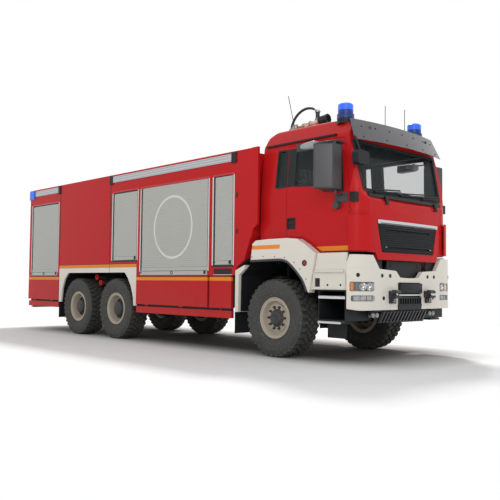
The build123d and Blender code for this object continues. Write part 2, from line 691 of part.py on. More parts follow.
bumper_wall = 60
bumper_outer = from_above(bumper_plan(0), 700, 1500) & from_front(outline(bumper_points), 1200, 1600)
bumper_back = from_above(bumper_plan(bumper_wall), 690, 1510)
lamp_boxes = [(818, 1222, 976, 1102), (808, 1208, 843, 922)]
lamp_cuts = [from_front(outline([(-y1, z0), (-y0, z0), (-y0, z1), (-y1, z1)], 18), 1300, 1600)
             for y0, y1, z0, z1 in lamp_boxes]
mouth_points = [(-285, 770), (285, 770), (285, 1100), (-285, 1100)]
mouth = from_front(outline(mouth_points, 20), 1300, 1600)
lamp_cuts_both = both_sides(*lamp_cuts)
bumper = bumper_outer - bumper_back - lamp_cuts_both - mouth
for y in (650, 470):
    for side in (-1, 1):
        bumper -= rod((1380, side * y, 1188), (1600, side * y, 1188), 24)
stay_y = rail_outer - 30
bumper_stays = [block(rail_front, 1435, side * stay_y - 30, side * stay_y + 30, 820, 900) for side in (-1, 1)]
save("front_bumper", bumper, *bumper_stays)

lamp_form = from_above(bumper_plan(10), 700, 1500) - bumper_back
lamp_solids = [lamp_form & from_front(offset(outline([(-y1, z0), (-y0, z0), (-y0, z1), (-y1, z1)], 18), -1),
                                      1300, 1600) for y0, y1, z0, z1 in lamp_boxes]
spot_radius = 34
spot_height = 650
spot_back, spot_front = 1345, 1410
spot_inner, spot_outer = 660, 750
spots = [rod((spot_back, -y, spot_height), (spot_front, -y, spot_height), spot_radius)
         for y in (spot_inner, spot_outer)]
save("front_lamps", *both_sides(*lamp_solids, *spots))

mouth_insert = from_front(offset(outline(mouth_points, 20), -running_gap), 1440, 1465)
mouth_insert += block(1450, 1521, -274, 274, 950, 1087)
mouth_insert += block(1450, 1505, -280, 280, 778, 897)
for y in range(-240, 241, 60):
    mouth_insert -= block(1480, 1510, y - 20, y + 20, 800, 875)
guard_frame = from_side(outline([(1395, 700), (1420, 700), (1350, 535), (1325, 535)]), -565, 565)
guard_slots = [from_front(outline([(y - 16, 560), (y + 16, 560), (y + 34, 680), (y + 2, 680)]), 1300, 1450)
               for y in range(-480, 481, 80)]
guard_frame -= guard_slots
for side in (-1, 1):
    y0, y1 = side * stay_y - 25, side * stay_y + 25
    guard_frame += block(1180, 1400, y0, y1, 690, 720) + block(1180, 1230, y0, y1, 700, rail_bottom)
spot_clear = [rod((spot_back - 5, -y, spot_height), (spot_front + 5, -y, spot_height), spot_radius + running_gap)
              for y in (spot_inner, spot_outer)]
stay_out, stay_in = -spot_outer - 45, -spot_inner + 45
spot_stay = block(1370, 1390, stay_out, stay_in, spot_height - 10, 722)
spot_stay += block(1370, 1450, stay_out, stay_in, 700, 722)
spot_stay -= [*spot_clear, bumper_outer]
save("bumper_blacks", mouth_insert, guard_frame, *both_sides(spot_stay))

coupling = block(1440, front_reach, -505, -365, 884, 982)
coupling -= block(1540, front_reach, -505, -365, 918, 948)
coupling -= rod((1572, -435, 880), (1572, -435, 990), 16)
coupling -= bumper_outer
save("tow_couplings", *both_sides(coupling))


# Locker body in three modules
shutters_right = [            # X from, X to, Z from, Z to
    (-4310, -3490, 1470, 2765),
    (-3370, -1485, 1190, 2765),
    (-1352, -885, 1347, 2765),
    (-7650, -6450, 1190, 2760),
]
rear_shutter = (-760, 760, 1190, 2760)
side_y = half_width


def module(side_points):
    """A hollow box of panels from its side outline, with parapets along its roof."""
    face = outline(side_points)
    shell = from_side(face, -side_y, side_y)
    room = from_side(offset(face, -body_wall, kind=Kind.INTERSECTION), -side_y + body_wall, side_y - body_wall)
    shell -= room & block(body_rear, 0, -side_y, side_y, 0, roof_plate_top - body_wall)
    shell -= block(body_rear - 1, 0, -side_y + body_wall, side_y - body_wall, roof_plate_top, body_top + 1)
    return fillet(shell.edges().filter_by(Axis.X).group_by(Axis.Z)[-1].sort_by(Axis.Y)[0::3], 20)


def shutter_cut(x0, x1, z0, z1):
    return both_sides(block(x0 - shutter_frame, x1 + shutter_frame, -side_y - 10, -side_y + body_wall + 5,
                            max(z0 - shutter_frame, body_floor + body_wall), z1 + shutter_frame))


def pontoon(x0, x1):
    """A low locker outside the frame, hung under the body and open outward where its flap closes it."""
    wall = 24
    y_out, top = -side_y + flap_thickness + running_gap, body_floor - running_gap
    box = block(x0, x1, y_out, -liner_inner_y, pontoon_bottom, top)
    return box - block(x0 + wall, x1 - wall, y_out - 1, -liner_inner_y - wall,
                       pontoon_bottom + wall, top - wall)


front_module = module([
    (locker_split + seam / 2, raised_floor), (pontoon_rear, raised_floor), (pontoon_rear, body_floor),
    (-830, body_floor), (-819, 1268), (-790, 1310), (-620, 1424), (body_front, 1800), (body_front, body_top),
    (locker_split + seam / 2, body_top)])
cheek = from_side(outline([(body_front - 5, 1740), (body_front - 5, body_top), (cheek_front, body_top),
                           (cheek_front, 1954), (-437, 1886)]), -side_y, -side_y + body_wall)
front_module += both_sides(cheek)
for shutter in shutters_right[:3]:
    front_module -= shutter_cut(*shutter)
save("front_lockers", front_module, *both_sides(pontoon(pontoon_rear, -905)))

tank = module([(tank_split + seam / 2, raised_floor), (locker_split - seam / 2, raised_floor),
               (locker_split - seam / 2, body_top), (tank_split + seam / 2, body_top)])
tank += block(tank_split + 20, locker_split - 20, -rail_outer, rail_outer, body_floor, raised_floor)
save("tank_section", tank)

rear_module = module([(body_rear, body_floor), (tank_split - seam / 2, body_floor),
                      (tank_split - seam / 2, body_top), (body_rear, body_top)])
rear_module -= shutter_cut(*shutters_right[3])
y0, y1, z0, z1 = rear_shutter
rear_module -= block(body_rear - 10, body_rear + body_wall + 5, y0 - shutter_frame, y1 + shutter_frame,
                     body_floor + body_wall, z1 + shutter_frame)
save("rear_lockers", rear_module, *both_sides(pontoon(body_rear, -6400)))


def ring(x0, x1, z0, z1):
    """Aluminium frame round a shutter, seated in its opening in the wall."""
    low = max(z0 - shutter_frame, body_floor + body_wall)
    outer = block(x0 - shutter_frame, x1 + shutter_frame, -side_y + 2, -side_y + body_wall - 2,
                  low, z1 + shutter_frame)
    return outer - block(x0, x1, -side_y - 5, -side_y + body_wall + 5, max(z0, low + shutter_frame), z1)


def shutter(x0, x1, z0, z1):
    low = max(z0, body_floor + body_wall + shutter_frame)
    y0 = -side_y + shutter_recess
    return block(x0, x1, y0, y0 + shutter_depth, low, z1)


rings = both_sides(*[ring(*row) for row in shutters_right])
y0, y1, z0, z1 = rear_shutter
rear_low = body_floor + body_wall
rear_ring = block(body_rear + 2, body_rear + body_wall - 2, y0 - shutter_frame, y1 + shutter_frame,
                  rear_low, z1 + shutter_frame)
rear_ring -= block(body_rear - 5, body_rear + body_wall + 5, y0, y1, rear_low + shutter_frame, z1)
save("shutter_frames", *rings, rear_ring)
rear_sheet = block(body_rear + shutter_recess, body_rear + shutter_recess + shutter_depth, y0, y1,
                   rear_low + shutter_frame, z1)
save("shutters", *both_sides(*[shutter(*row) for row in shutters_right]), rear_sheet)

deck_margin = body_wall + 10
deck_spans = [(locker_split + 60, body_front - 60), (tank_split + 60, locker_split - 60),
              (body_rear + 60, tank_split - 60)]
decks = [block(x0, x1, -side_y + deck_margin, side_y - deck_margin, roof_plate_top, roof_plate_top + 8)
         for x0, x1 in deck_spans]
hatches = [Pos(x, 0, roof_plate_top + 8) * Cylinder(260, 40, align=(Align.CENTER, Align.CENTER, Align.MIN))
           for x in (-5000, -5800)]
decks[1] += hatches
save("roof_deck", *decks)

strip_rows = [(-4310, -922), (-7510, -6460)]
strips = [block(x0, x1, -side_y - strip_proud, -side_y, 2965, 3085) for x0, x1 in strip_rows]
save("light_strips", *both_sides(*strips))
strip_end_rows = [(-4426, -4312), (-920, -812), (-6458, -6366)]
strip_ends = [block(x0, x1, -side_y - strip_proud - 4, -side_y, 2936, 3105) for x0, x1 in strip_end_rows]

corner_lamps = block(body_rear - 20, -7560, -side_y - 22, -side_y + 60, 2905, 3110)
corner_lamps -= block(body_rear, -7500, -side_y, side_y, 2800, 3200)
corner_lamps = fillet(corner_lamps.edges().filter_by(Axis.Z).group_by(Axis.X)[0].sort_by(Axis.Y)[0:1], 18)
save("blue_corner_lamps", *both_sides(corner_lamps))


# Fenders, arches, mudflaps and guards below the lockers
rear_arch_inner = [(-6254, 600), (-6254, 642), (-6212, 929), (-6119, 1121), (-5974, arch_top),
                   (-3867, arch_top), (-3764, 1148), (-3657, 992), (-3582, 794), (-3568, 642), (-3568, 600)]
rear_fender_box = [(-6352, 642), (-6352, raised_floor - 3), (pontoon_rear - 4, raised_floor - 3),
                   (pontoon_rear - 4, 642)]
rear_liner_points = [(-6268, 650), (-6226, 935), (-6130, 1132), (-5980, arch_top + 14),
                     (-3861, arch_top + 14), (-3753, 1159), (-3643, 998), (-3568, 798), (-3554, 650)]


def rear_fender():
    """The white panel round the rear pair."""
    panel = from_side(outline(rear_fender_box), -side_y, -side_y + fender_skin)
    return panel - from_side(outline(rear_arch_inner), -side_y - 5, -side_y + fender_skin + 5)


front_arch_inner = [(-478, 1407), (149, 1423), (318, 1366), (467, 1250), (576, 1130), (666, 958)]
front_arch_outer = [(692, 946), (800, 1490), (731, 1537), (607, 1622), (463, 1700), (278, 1718),
                    (-107, 1717), (-370, 1705), (-440, 1658)]
arch_face = outline(front_arch_inner + front_arch_outer)
fender_inner_y = cab_half_width + 12
front_fender = from_side(arch_face, -side_y, -side_y + 30)
front_fender += from_side(arch_face - offset(arch_face, -26, kind=Kind.INTERSECTION), -side_y, -fender_inner_y)
entry_panel = from_side(outline([(812, 1490), (700, 990), (1318, 990), (1318, 1490)], 12), -1215, -1185)
strip_back = -816
tail_strip = from_side(outline([(-613, 1344), (strip_back, 1262), (strip_back, 626), (-744, 629), (-735, 1190),
                                (-600, 1290)]), -side_y, -1010)
save("fenders", *both_sides(rear_fender(), front_fender, entry_panel, tail_strip))


def bent_sheet(points, thickness, y0, y1):
    """Thin sheet along a run of points in the side view, thickened to the left of the run."""
    other = []
    for index, (x, z) in enumerate(points):
        xa, za = points[max(index - 1, 0)]
        xb, zb = points[min(index + 1, len(points) - 1)]
        length = hypot(xb - xa, zb - za)
        other.append((x - (zb - za) / length * thickness, z + (xb - xa) / length * thickness))
    return from_side(outline(points + other[::-1]), y0, y1)


front_liner = bent_sheet(front_arch_inner, -liner_sheet, -side_y + 32, -liner_inner_y)
front_liner += block(-440, -400, -rail_outer - 40, -rail_outer, 960, 1400)
front_liner += block(-440, -400, -700, -rail_outer, 1370, 1400)
front_liner += block(624, 656, -640, -rail_outer, 965, 990)
rear_liner = bent_sheet(rear_liner_points, liner_sheet, -side_y + fender_skin, -liner_inner_y)
for x in (-3900, -4900, -5900):
    rear_liner += block(x - 25, x + 25, -640, -rail_outer, 1150, arch_top + 20)
front_mudflap = block(strip_back - 12, strip_back, -side_y + 10, -760, 300, 1180)
front_mudflap += block(strip_back - 12, strip_back, -760, -rail_outer, 1020, 1055)
rear_mudflap = block(-6376, -6364, -side_y + 20, -860, 311, 700)
rear_mudflap += block(-6376, -6364, -860, -rail_outer, 800, 860) + block(-6376, -6364, -920, -860, 700, 860)

# Entry steps under the doors: a box open outward, a tread inside it and one hung below
step_sheet = 12
step_box = block(823, 1291, -1200, -640, 575, 985)
step_box -= block(823 + step_sheet, 1291 - step_sheet, -1201, -640 - step_sheet,
                  575 + step_sheet, 985 - step_sheet)
step_box += block(824, 1290, -1200, -900, 868, 904)
step_box += block(825, 1228, -1215, -960, 535, 562)
step_box += [block(x - 8, x + 8, -1180, -1000, 550, 580) for x in (850, 1200)]
step_box += block(900, 1000, -650, -rail_outer - running_gap, 850, 950)
save("arch_liners", *both_sides(front_liner, rear_liner, front_mudflap, rear_mudflap, step_box, *strip_ends))

guard_rows = [                # name, X from, X to, posts
    ("front", -3485, -905, (-3200, -2200, -1200)),
    ("rear", body_rear + 20, -6385, (-7500, -6700)),
]

# A flap turns on pins along its foot. Each hinge stands on a post of the guard
fold_y = -side_y + 8
fold_z = flap_bottom - 8
fold_radius = 7.5
fold_pin_radius = 4
fold_leaf = 60                # length of one knuckle
fold_hinges = {"front": (-3200, -2200), "rear": (-7500, -6700)}


def fold_knuckle(x):
    """The fixed half of a flap hinge, from its post out to the barrel and its pin."""
    x0, x1 = x - fold_leaf / 2, x + fold_leaf / 2
    leaf = block(x0, x1, fold_y, -side_y + 70, fold_z - 5, fold_z + 5)
    pin = rod((x0, fold_y, fold_z), (x1 + fold_leaf, fold_y, fold_z), fold_pin_radius)
    return leaf + rod((x0, fold_y, fold_z), (x1, fold_y, fold_z), fold_radius) + pin


def guard(name, x0, x1, posts):
    """The low side rail on its posts, with the hinges of the flap above it."""
    made = block(x0, x1, -side_y + 10, -side_y + 60, guard_bottom, guard_top)
    made += [block(x - 20, x + 20, -side_y + 45, -side_y + 75, guard_bottom + 20, pontoon_bottom)
             for x in posts]
    return made + [fold_knuckle(x) for x in fold_hinges[name]]


save("underrun_guards", *both_sides(*[guard(*row) for row in guard_rows]))

flap_rows = [                 # name, X from, X to
    ("front", -3484, -1480),
    ("rear", body_rear + 2, -6382),
]
for name, x0, x1 in flap_rows:
    flap = block(x0, x1, -side_y, -side_y + flap_thickness, flap_bottom, sill_top)
    for hinge_x in fold_hinges[name]:
        start = hinge_x + fold_leaf / 2 + running_gap
        bore = rod((start - 1, fold_y, fold_z), (start + fold_leaf + 1, fold_y, fold_z),
                   fold_pin_radius + 0.05)
        barrel = rod((start, fold_y, fold_z), (start + fold_leaf, fold_y, fold_z), fold_radius)
        barrel += block(start, start + fold_leaf, fold_y - 6, fold_y + 6, fold_z + 1, flap_bottom + 4)
        flap += barrel - bore
    save(f"flap_{name}_right", flap)
    save(f"flap_{name}_left", left_of(flap))
fixed_sill = block(-1428, -906, -side_y, -side_y + flap_thickness, flap_bottom, sill_top)
save("fixed_sills", *both_sides(fixed_sill))

# Rear end
bar_y = 410
rear_bar = block(-rear_reach, -rear_reach + 60, -1150, 1150, 480, 580)
for side in (-1, 1):
    y0, y1 = side * bar_y - 30, side * bar_y + 30
    rear_bar += block(-rear_reach + 50, rail_rear + 60, y0, y1, 500, 560)
    rear_bar += block(rail_rear, rail_rear + 60, y0, y1, 500, rail_bottom)
tail_lamp = block(body_rear - 26, body_rear, -1200, -1000, 900, 1050)
save("tail_lamps", *both_sides(tail_lamp))

save("rear_bar", rear_bar)

# Roof monitor: riser on the body's roof, turning head, lifting barrel
monitor_x = -650
monitor_z = 3650
riser_top = 3390
fork_inner_y = 84
trunnion_radius = 30
barrel_length = 630
nozzle_radius = 70
riser = rod((monitor_x, 0, roof_plate_top + 8), (monitor_x, 0, riser_top), 70)
riser += rod((monitor_x, 0, roof_plate_top + 8), (monitor_x, 0, roof_plate_top + 28), 110)
save("monitor_riser", riser)
head = rod((monitor_x, 0, riser_top + running_gap), (monitor_x, 0, riser_top + 40), 110)
for side in (-1, 1):
    y0, y1 = sorted((side * fork_inner_y, side * (fork_inner_y + 20)))
    head += block(monitor_x - 50, monitor_x + 50, y0, y1, riser_top + 20, monitor_z + 45)
    head -= rod((monitor_x, y0, monitor_z), (monitor_x, y1, monitor_z), trunnion_radius + 0.05)
save("monitor_head", head)
pivot = Vector(monitor_x, 0, monitor_z)
aim = Vector(626, 0, 66).normalized()
trunnion_y = fork_inner_y + 20
barrel = rod((monitor_x, -trunnion_y, monitor_z), (monitor_x, trunnion_y, monitor_z), trunnion_radius)
barrel += rod((monitor_x, 1 - fork_inner_y, monitor_z), (monitor_x, fork_inner_y - 1, monitor_z), 50)
barrel += rod(pivot - aim * 200, pivot + aim * (barrel_length - 90), 42)
barrel += rod(pivot + aim * (barrel_length - 170), pivot + aim * barrel_length, nozzle_radius)
barrel -= rod(pivot + aim * (barrel_length - 90), pivot + aim * (barrel_length + 10), 52)
swivel = pivot + aim * 406
barrel += rod(swivel, swivel + Vector(0, 0, 197), 34)
swivel_top = swivel + Vector(0, 0, 180)
hose_path = ThreePointArc(pivot - aim * 180, Vector(monitor_x - 60, 0, monitor_z + 215), swivel_top)
hose = sweep(Plane(hose_path @ 0, z_dir=hose_path % 0) * RegularPolygon(22, 10), path=hose_path)
save("monitor_barrel", barrel + hose)
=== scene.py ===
# %% [markdown]
# # Dressing an airport fire truck
# The solid parts of the truck arrive as a fixed frame: every panel, wheel and lamp already has
# its size and its place. This lesson gives them their finish and adds what is too fine for the
# solids, such as the tread of the tyres, the slats of the shutters and the seals of the windows.
# Blender works in metres here. X points forward, Y to the truck's left and Z up.

# %% Load the frame
import math

import bmesh
import bpy
from mathutils import Euler, Matrix, Vector


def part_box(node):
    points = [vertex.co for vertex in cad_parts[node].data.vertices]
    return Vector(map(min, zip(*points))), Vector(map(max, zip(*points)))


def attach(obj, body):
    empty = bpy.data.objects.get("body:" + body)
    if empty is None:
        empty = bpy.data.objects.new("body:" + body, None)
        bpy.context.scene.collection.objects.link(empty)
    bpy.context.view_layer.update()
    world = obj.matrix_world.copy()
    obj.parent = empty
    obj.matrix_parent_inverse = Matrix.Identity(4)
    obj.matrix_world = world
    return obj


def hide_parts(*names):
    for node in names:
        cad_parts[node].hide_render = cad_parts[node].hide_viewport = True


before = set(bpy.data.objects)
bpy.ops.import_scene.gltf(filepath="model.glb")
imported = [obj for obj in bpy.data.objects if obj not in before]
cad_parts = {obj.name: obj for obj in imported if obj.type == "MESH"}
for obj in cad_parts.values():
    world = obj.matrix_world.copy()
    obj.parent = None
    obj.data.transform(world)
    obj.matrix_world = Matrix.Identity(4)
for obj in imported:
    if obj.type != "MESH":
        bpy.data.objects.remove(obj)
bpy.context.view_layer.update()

# %% [markdown]
# ## Where things are
# The frame is centred on the overall length, so the front axle isn't at X = 0. A maker's drawing
# counts from the front axle in millimetres, and so does this lesson. The offset comes from the
# frame itself: it is the middle of the front tyre's box.

# %% Reference places
tyre_low, tyre_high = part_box("tyre_front_right")
axle_x = (tyre_low[0] + tyre_high[0]) / 2
tyre_radius = 568
wheel_y = 1045
side_y = 1250
stations = {"front": 0, "middle": -4200, "rear": -5600}
print("front axle at", round(axle_x, 3), "m,",
      "tyre", round(1000 * (tyre_high[2] - tyre_low[2]) / 2), "mm in radius")

# %% [markdown]
# ## Camera
# The camera stands where the photographer stood: low, ahead of the truck and to its right, with a
# normal lens. Its turns were found from corners of the truck whose real places are known, so the
# render can be laid over the photograph.

# %% Camera
focal_pixels = 684.4
photo_pixels = 500
sensor_mm = 36
camera_place = Vector((axle_x + 6.965, -8.357, 1.057))
yaw, pitch, roll = (math.radians(a) for a in (136.38, 2.84, 0.62))

camera_data = bpy.data.cameras.new("camera")
camera_data.sensor_width = sensor_mm
camera_data.lens = focal_pixels * sensor_mm / photo_pixels
camera_data.clip_end = 200
camera = bpy.data.objects.new("camera", camera_data)
bpy.context.scene.collection.objects.link(camera)
forward = Vector((math.cos(yaw) * math.cos(pitch), math.sin(yaw) * math.cos(pitch), math.sin(pitch)))
level_right = Vector((math.sin(yaw), -math.cos(yaw), 0))
level_up = level_right.cross(forward)
right = math.cos(roll) * level_right + math.sin(roll) * level_up
up = -math.sin(roll) * level_right + math.cos(roll) * level_up
turn = Matrix((right, up, -forward)).transposed()
camera.matrix_world = Matrix.Translation(camera_place) @ turn.to_4x4()
bpy.context.scene.camera = camera
print("lens", round(camera_data.lens, 2), "mm")

# %% [markdown]
# ## Shader sums written as Python
# A shader is a net of nodes. Placing them by hand hides the idea, so a small class wraps a socket
# and gives it the usual operators: writing (z > 1.1) * (z < 1.2) adds the Math nodes for a
# stripe. A second class makes every other node through one method. A finish is such a net of
# nodes with a shader at its end, and the sky is another.


# %% Wires
class Wire:
    """A socket that can be added, multiplied and compared, which adds Math nodes."""

    def __init__(self, net, socket):
        self.net = net
        self.socket = socket

    def maths(self, operation, first, second):
        return self.net.node("ShaderNodeMath", {"operation": operation}, {0: first, 1: second})

    def __add__(self, other):
        return self.maths("ADD", self, other)

    def __radd__(self, other):
        return self.maths("ADD", other, self)

    def __sub__(self, other):
        return self.maths("SUBTRACT", self, other)

    def __rsub__(self, other):
        return self.maths("SUBTRACT", other, self)

    def __mul__(self, other):
        return self.maths("MULTIPLY", self, other)

    def __rmul__(self, other):
        return self.maths("MULTIPLY", other, self)

    def __gt__(self, other):
        return self.maths("GREATER_THAN", self, other)

    def __lt__(self, other):
        return self.maths("LESS_THAN", self, other)

    def __pow__(self, other):
        return self.maths("POWER", self, other)

    def __abs__(self):
        return self.maths("ABSOLUTE", self, 0.0)

    def __mod__(self, other):
        return self.maths("FLOORED_MODULO", self, other)

    def between(self, low, high):
        """1 where the value lies between low and high, and 0 elsewhere."""
        return (self > low) * (self < high)

    def ramp(self, low, high):
        """0 below low, 1 above high and a straight run between them."""
        return self.net.node("ShaderNodeMapRange", {"clamp": True}, {0: self, 1: low, 2: high})


# %% Nets of nodes
class Net:
    """A net of nodes, and the one method that adds to it."""

    def __init__(self, tree):
        self.tree = tree

    def node(self, kind, settings=None, sockets=None, output=0):
        """Any node: its type, its settings, and the values or wires of its sockets."""
        made = self.tree.nodes.new(kind)
        for name, value in (settings or {}).items():
            setattr(made, name, value)
        for name, value in (sockets or {}).items():
            if isinstance(value, Wire):
                self.tree.links.new(value.socket, made.inputs[name])
            else:
                made.inputs[name].default_value = value
        return Wire(self, made.outputs[output])


# %% Finishes
class Finish(Net):
    """One material: its net of nodes and the shader at its end."""

    def __init__(self, name, colour, roughness, **shader):
        self.material = bpy.data.materials.new(name)
        self.material.use_nodes = True
        super().__init__(self.material.node_tree)
        self.shader = self.tree.nodes["Principled BSDF"]
        self.put("Base Color", (*colour, 1))
        self.put("Roughness", roughness)
        for socket, value in shader.items():
            self.put(socket.replace("_", " ").replace("ior", "IOR"), value)
        self.parts = None

    def put(self, socket, value):
        """Set a socket of the shader to a value or to a wire."""
        target = self.shader.inputs[socket]
        if isinstance(value, Wire):
            self.tree.links.new(value.socket, target)
        else:
            target.default_value = value

    def place(self):
        """X, Y and Z of the point on the object, in metres, with X counted from the front axle."""
        if self.parts is None:
            self.where = self.node("ShaderNodeTexCoord", output="Object")
            x, y, z = (self.node("ShaderNodeSeparateXYZ", None, {0: self.where}, axis) for axis in "XYZ")
            self.parts = (x - axle_x, y, z)
        return self.parts

    def speckle(self, scale, detail, roughness=0.55, stretch=(1, 1, 1)):
        """Smooth noise from 0 to 1, as fine as scale and drawn out along an axis by stretch."""
        self.place()
        where = self.node("ShaderNodeVectorMath", {"operation": "MULTIPLY"}, {0: self.where, 1: stretch})
        return self.node("ShaderNodeTexNoise", None,
                         {"Vector": where, "Scale": scale, "Detail": detail, "Roughness": roughness})

    def blend(self, amount, first, second):
        """A colour between two colours."""
        first, second = (c if isinstance(c, Wire) else (*c[:3], 1) for c in (first, second))
        return self.node("ShaderNodeMix", {"data_type": "RGBA"}, {0: amount, 6: first, 7: second}, 2)

    def mottle(self, amount, colour, darker, lighter):
        """A colour that wavers between a darker and a lighter tone of itself."""
        return self.blend(amount, [c * darker for c in colour], [min(1, c * lighter) for c in colour])

    def bump(self, height, distance, strength):
        """Raise the surface by a height between 0 and 1, over a distance in metres."""
        self.put("Normal", self.node("ShaderNodeBump", None,
                                     {"Height": height, "Distance": distance, "Strength": strength}))


# %% [markdown]
# ## Paint
# Fire red is a solid paint under clear lacquer: an even colour, a sharp highlight and the very
# slight ripple that a sprayed panel has. Near the ground it carries a film of dust. The orange
# stripes are foil on the paint, so they are a mask between two heights, and so is the dark band
# above the body's stripes: partly the gap at a panel's edge and partly painted shadow under the
# shutter above it. A pressed crease in thin sheet is far too shallow to model, so it is a bump
# along a height.

# %% Paint
fire_red = (0.490, 0.010, 0.012)
warm_white = (0.700, 0.655, 0.575)
stripe_orange = (0.760, 0.235, 0.020)
road_dust = (0.30, 0.26, 0.21)
gap_and_shadow_dark = (0.016, 0.012, 0.012)
lining_grey = (0.030, 0.030, 0.032)
dusty_below, clean_above, dust_share = 0.45, 1.25, 0.12
crease_slope = 0.012


def paint(name, colour, stripes=(), x_range=None, creases=(), lining=None, sheen=0.10, joint=0):
    """Lacquered paint with foil stripes and pressed creases between pairs of heights in metres.

    A lining is a function that says where the inside and the underside are, which stay dark.
    The last argument is the height of a dark band above each stripe: a gap, with painted shadow.
    """
    finish = Finish(name, colour, 0.30, Coat_Weight=sheen / 2, Coat_Roughness=0.06, Specular_ior_Level=sheen)
    x, y, z = finish.place()
    tone = finish.speckle(1.3, 2.0)
    shade = finish.mottle(tone, colour, 0.93, 1.06)
    along = x.between(*x_range) if x_range else 1.0
    for low, high in stripes:
        shade = finish.blend(z.between(low, high) * along, shade, stripe_orange)
        # The band above a stripe is a dark gap with painted shadow under the panel above it.
        if joint:
            shade = finish.blend(z.between(high, high + joint) * along * 0.8, shade, gap_and_shadow_dark)
    streaks = finish.speckle(5.0, 4.0, stretch=(1.0, 1.0, 0.25))
    film = (1 - z.ramp(dusty_below, clean_above)) * streaks * dust_share
    shade = finish.blend(film, shade, road_dust)
    if lining:
        shade = finish.blend(lining(x, y, z), shade, lining_grey)
    finish.put("Base Color", shade)
    finish.put("Roughness", 0.26 + film * 0.9 + tone * 0.05)
    height = finish.speckle(55.0, 2.0) * 0.1
    for low, high in creases:
        height = height + z.ramp(low, low + crease_slope) * (1 - z.ramp(high - crease_slope, high))
    finish.bump(height, 0.004 if creases else 0.0035, 0.6)
    return finish.material


# %% [markdown]
# ## Linings
# A cab wall is one solid, red outside, and trimmed in dark plastic inside. Rather than cutting
# the mesh, the paint asks whether a point lies inside the cab: further in than the wall, below
# the roof and behind the screen. The lockers' undersides are dark in the same way. Each inner
# face is given by a place on it, in metres from the front axle, and by its slope.

# %% Places of the linings
wall_y, belt_z, wall_lean = 1.085, 2.35, 0.0903
corner_x, corner_slope = 1.25, 0.6
eaves_y, eaves_z, eaves_slope = 1.010, 3.125, 0.654
roof_z, roof_crown, roof_fall, roof_top_x = 3.405, 0.071, 0.09, 0.05
brow_x, brow_z, brow_slope = 1.05, 3.320, 0.667
nape_x, nape_z, nape_slope = -0.40, 3.260, 0.706
screen_x, screen_z, screen_lean = 1.374, 2.315, 0.2247
back_wall_x, floor_z = -0.370, 1.503
locker_wall_y, locker_floor_z = 1.205, 1.3455
front_module_x, front_module_rise = -3.480, 0.10


# %% Linings
def past(value, start):
    """How far a value lies past a start, and 0 before it."""
    return (value > start) * (value - start)


def inside_cab(x, y, z):
    """1 on the inner faces of the cab's walls and roof, and below its floor."""
    wall = abs(y) < wall_y - wall_lean * past(z, belt_z) - corner_slope * past(x, corner_x)
    eaves = abs(y) < eaves_y - eaves_slope * (z - eaves_z)
    roof = (z < roof_z - roof_crown * y * y) * (z < roof_z - roof_fall * (x - roof_top_x))
    brow = z < brow_z - brow_slope * (x - brow_x)
    nape = z < nape_z + nape_slope * (x - nape_x)
    screen = x < screen_x - screen_lean * past(z, screen_z)
    room = wall * eaves * roof * brow * nape * screen * (x > back_wall_x)
    return (room + (z < floor_z)).ramp(0.4, 0.6)


def under_lockers(x, y, z):
    """1 on faces of the front and middle modules that look down, behind their side panels."""
    floor = locker_floor_z + (x > front_module_x) * front_module_rise
    return (abs(y) < locker_wall_y) * (z < floor)


# %% [markdown]
# ## Plastics, rubber and metals
# Moulded black plastic has a fine grain that breaks up its highlight. Tyre rubber is matt and a
# little grey with dust. Bare metal is told apart by how it was worked: the shutters are rolled
# and anodised, the chrome is polished, and the chassis is painted black and then gets dirty.


# %% Plain finishes
def moulded_plastic(name, colour, roughness=0.5, grain=420.0):
    finish = Finish(name, colour, roughness, Specular_ior_Level=0.25)
    tone = finish.speckle(2.5, 3.0)
    finish.put("Base Color", finish.mottle(tone, colour, 0.8, 1.25))
    finish.put("Roughness", roughness - 0.08 + tone * 0.16)
    finish.bump(finish.speckle(grain, 2.0), 0.0003, 0.4)
    return finish.material


def rubber(name, colour, dustiness=0.35):
    finish = Finish(name, colour, 0.8)
    tone = finish.speckle(6.0, 5.0)
    dusty = finish.speckle(38.0, 3.0)
    shade = finish.mottle(tone, colour, 0.75, 1.3)
    finish.put("Base Color", finish.blend(dusty.ramp(0.50, 0.85) * dustiness, shade, road_dust))
    finish.put("Roughness", 0.72 + dusty * 0.2)
    finish.bump(finish.speckle(190.0, 3.0), 0.0006, 0.5)
    return finish.material


def chassis_paint(name, colour, grime_share=0.5):
    finish = Finish(name, colour, 0.5)
    grime = finish.speckle(7.0, 6.0, 0.65)
    finish.put("Base Color", finish.blend(grime.ramp(0.48, 0.75) * grime_share, colour, road_dust))
    finish.put("Roughness", 0.42 + grime * 0.4)
    finish.bump(finish.speckle(70.0, 3.0), 0.0006, 0.5)
    return finish.material


# %% Metals
def worked_metal(name, colour, roughness, stretch, metallic=1.0, depth=0.0002):
    """Metal with fine marks drawn out along one way."""
    finish = Finish(name, colour, roughness, Metallic=metallic)
    marks = finish.speckle(60.0, 4.0, stretch=stretch)
    finish.put("Base Color", finish.mottle(marks, colour, 0.9, 1.08))
    finish.put("Roughness", roughness - 0.06 + marks * 0.12)
    finish.bump(marks, depth, 0.5)
    return finish.material


# %% Frames and slats of the shutters
post_metal = (0.62, 0.62, 0.60)
post_foot_black = (0.015, 0.015, 0.016)
post_head_z, post_foot_z = 2.762, 1.260
high_feet = [(-4.35, -3.45, 1.470), (-1.39, -0.85, 1.347)]
slat_grey, slat_wash, ring_foil = (0.420, 0.420, 0.385), (0.52, 0.52, 0.49), (0.66, 0.65, 0.58)
slat_metallic = 0.45


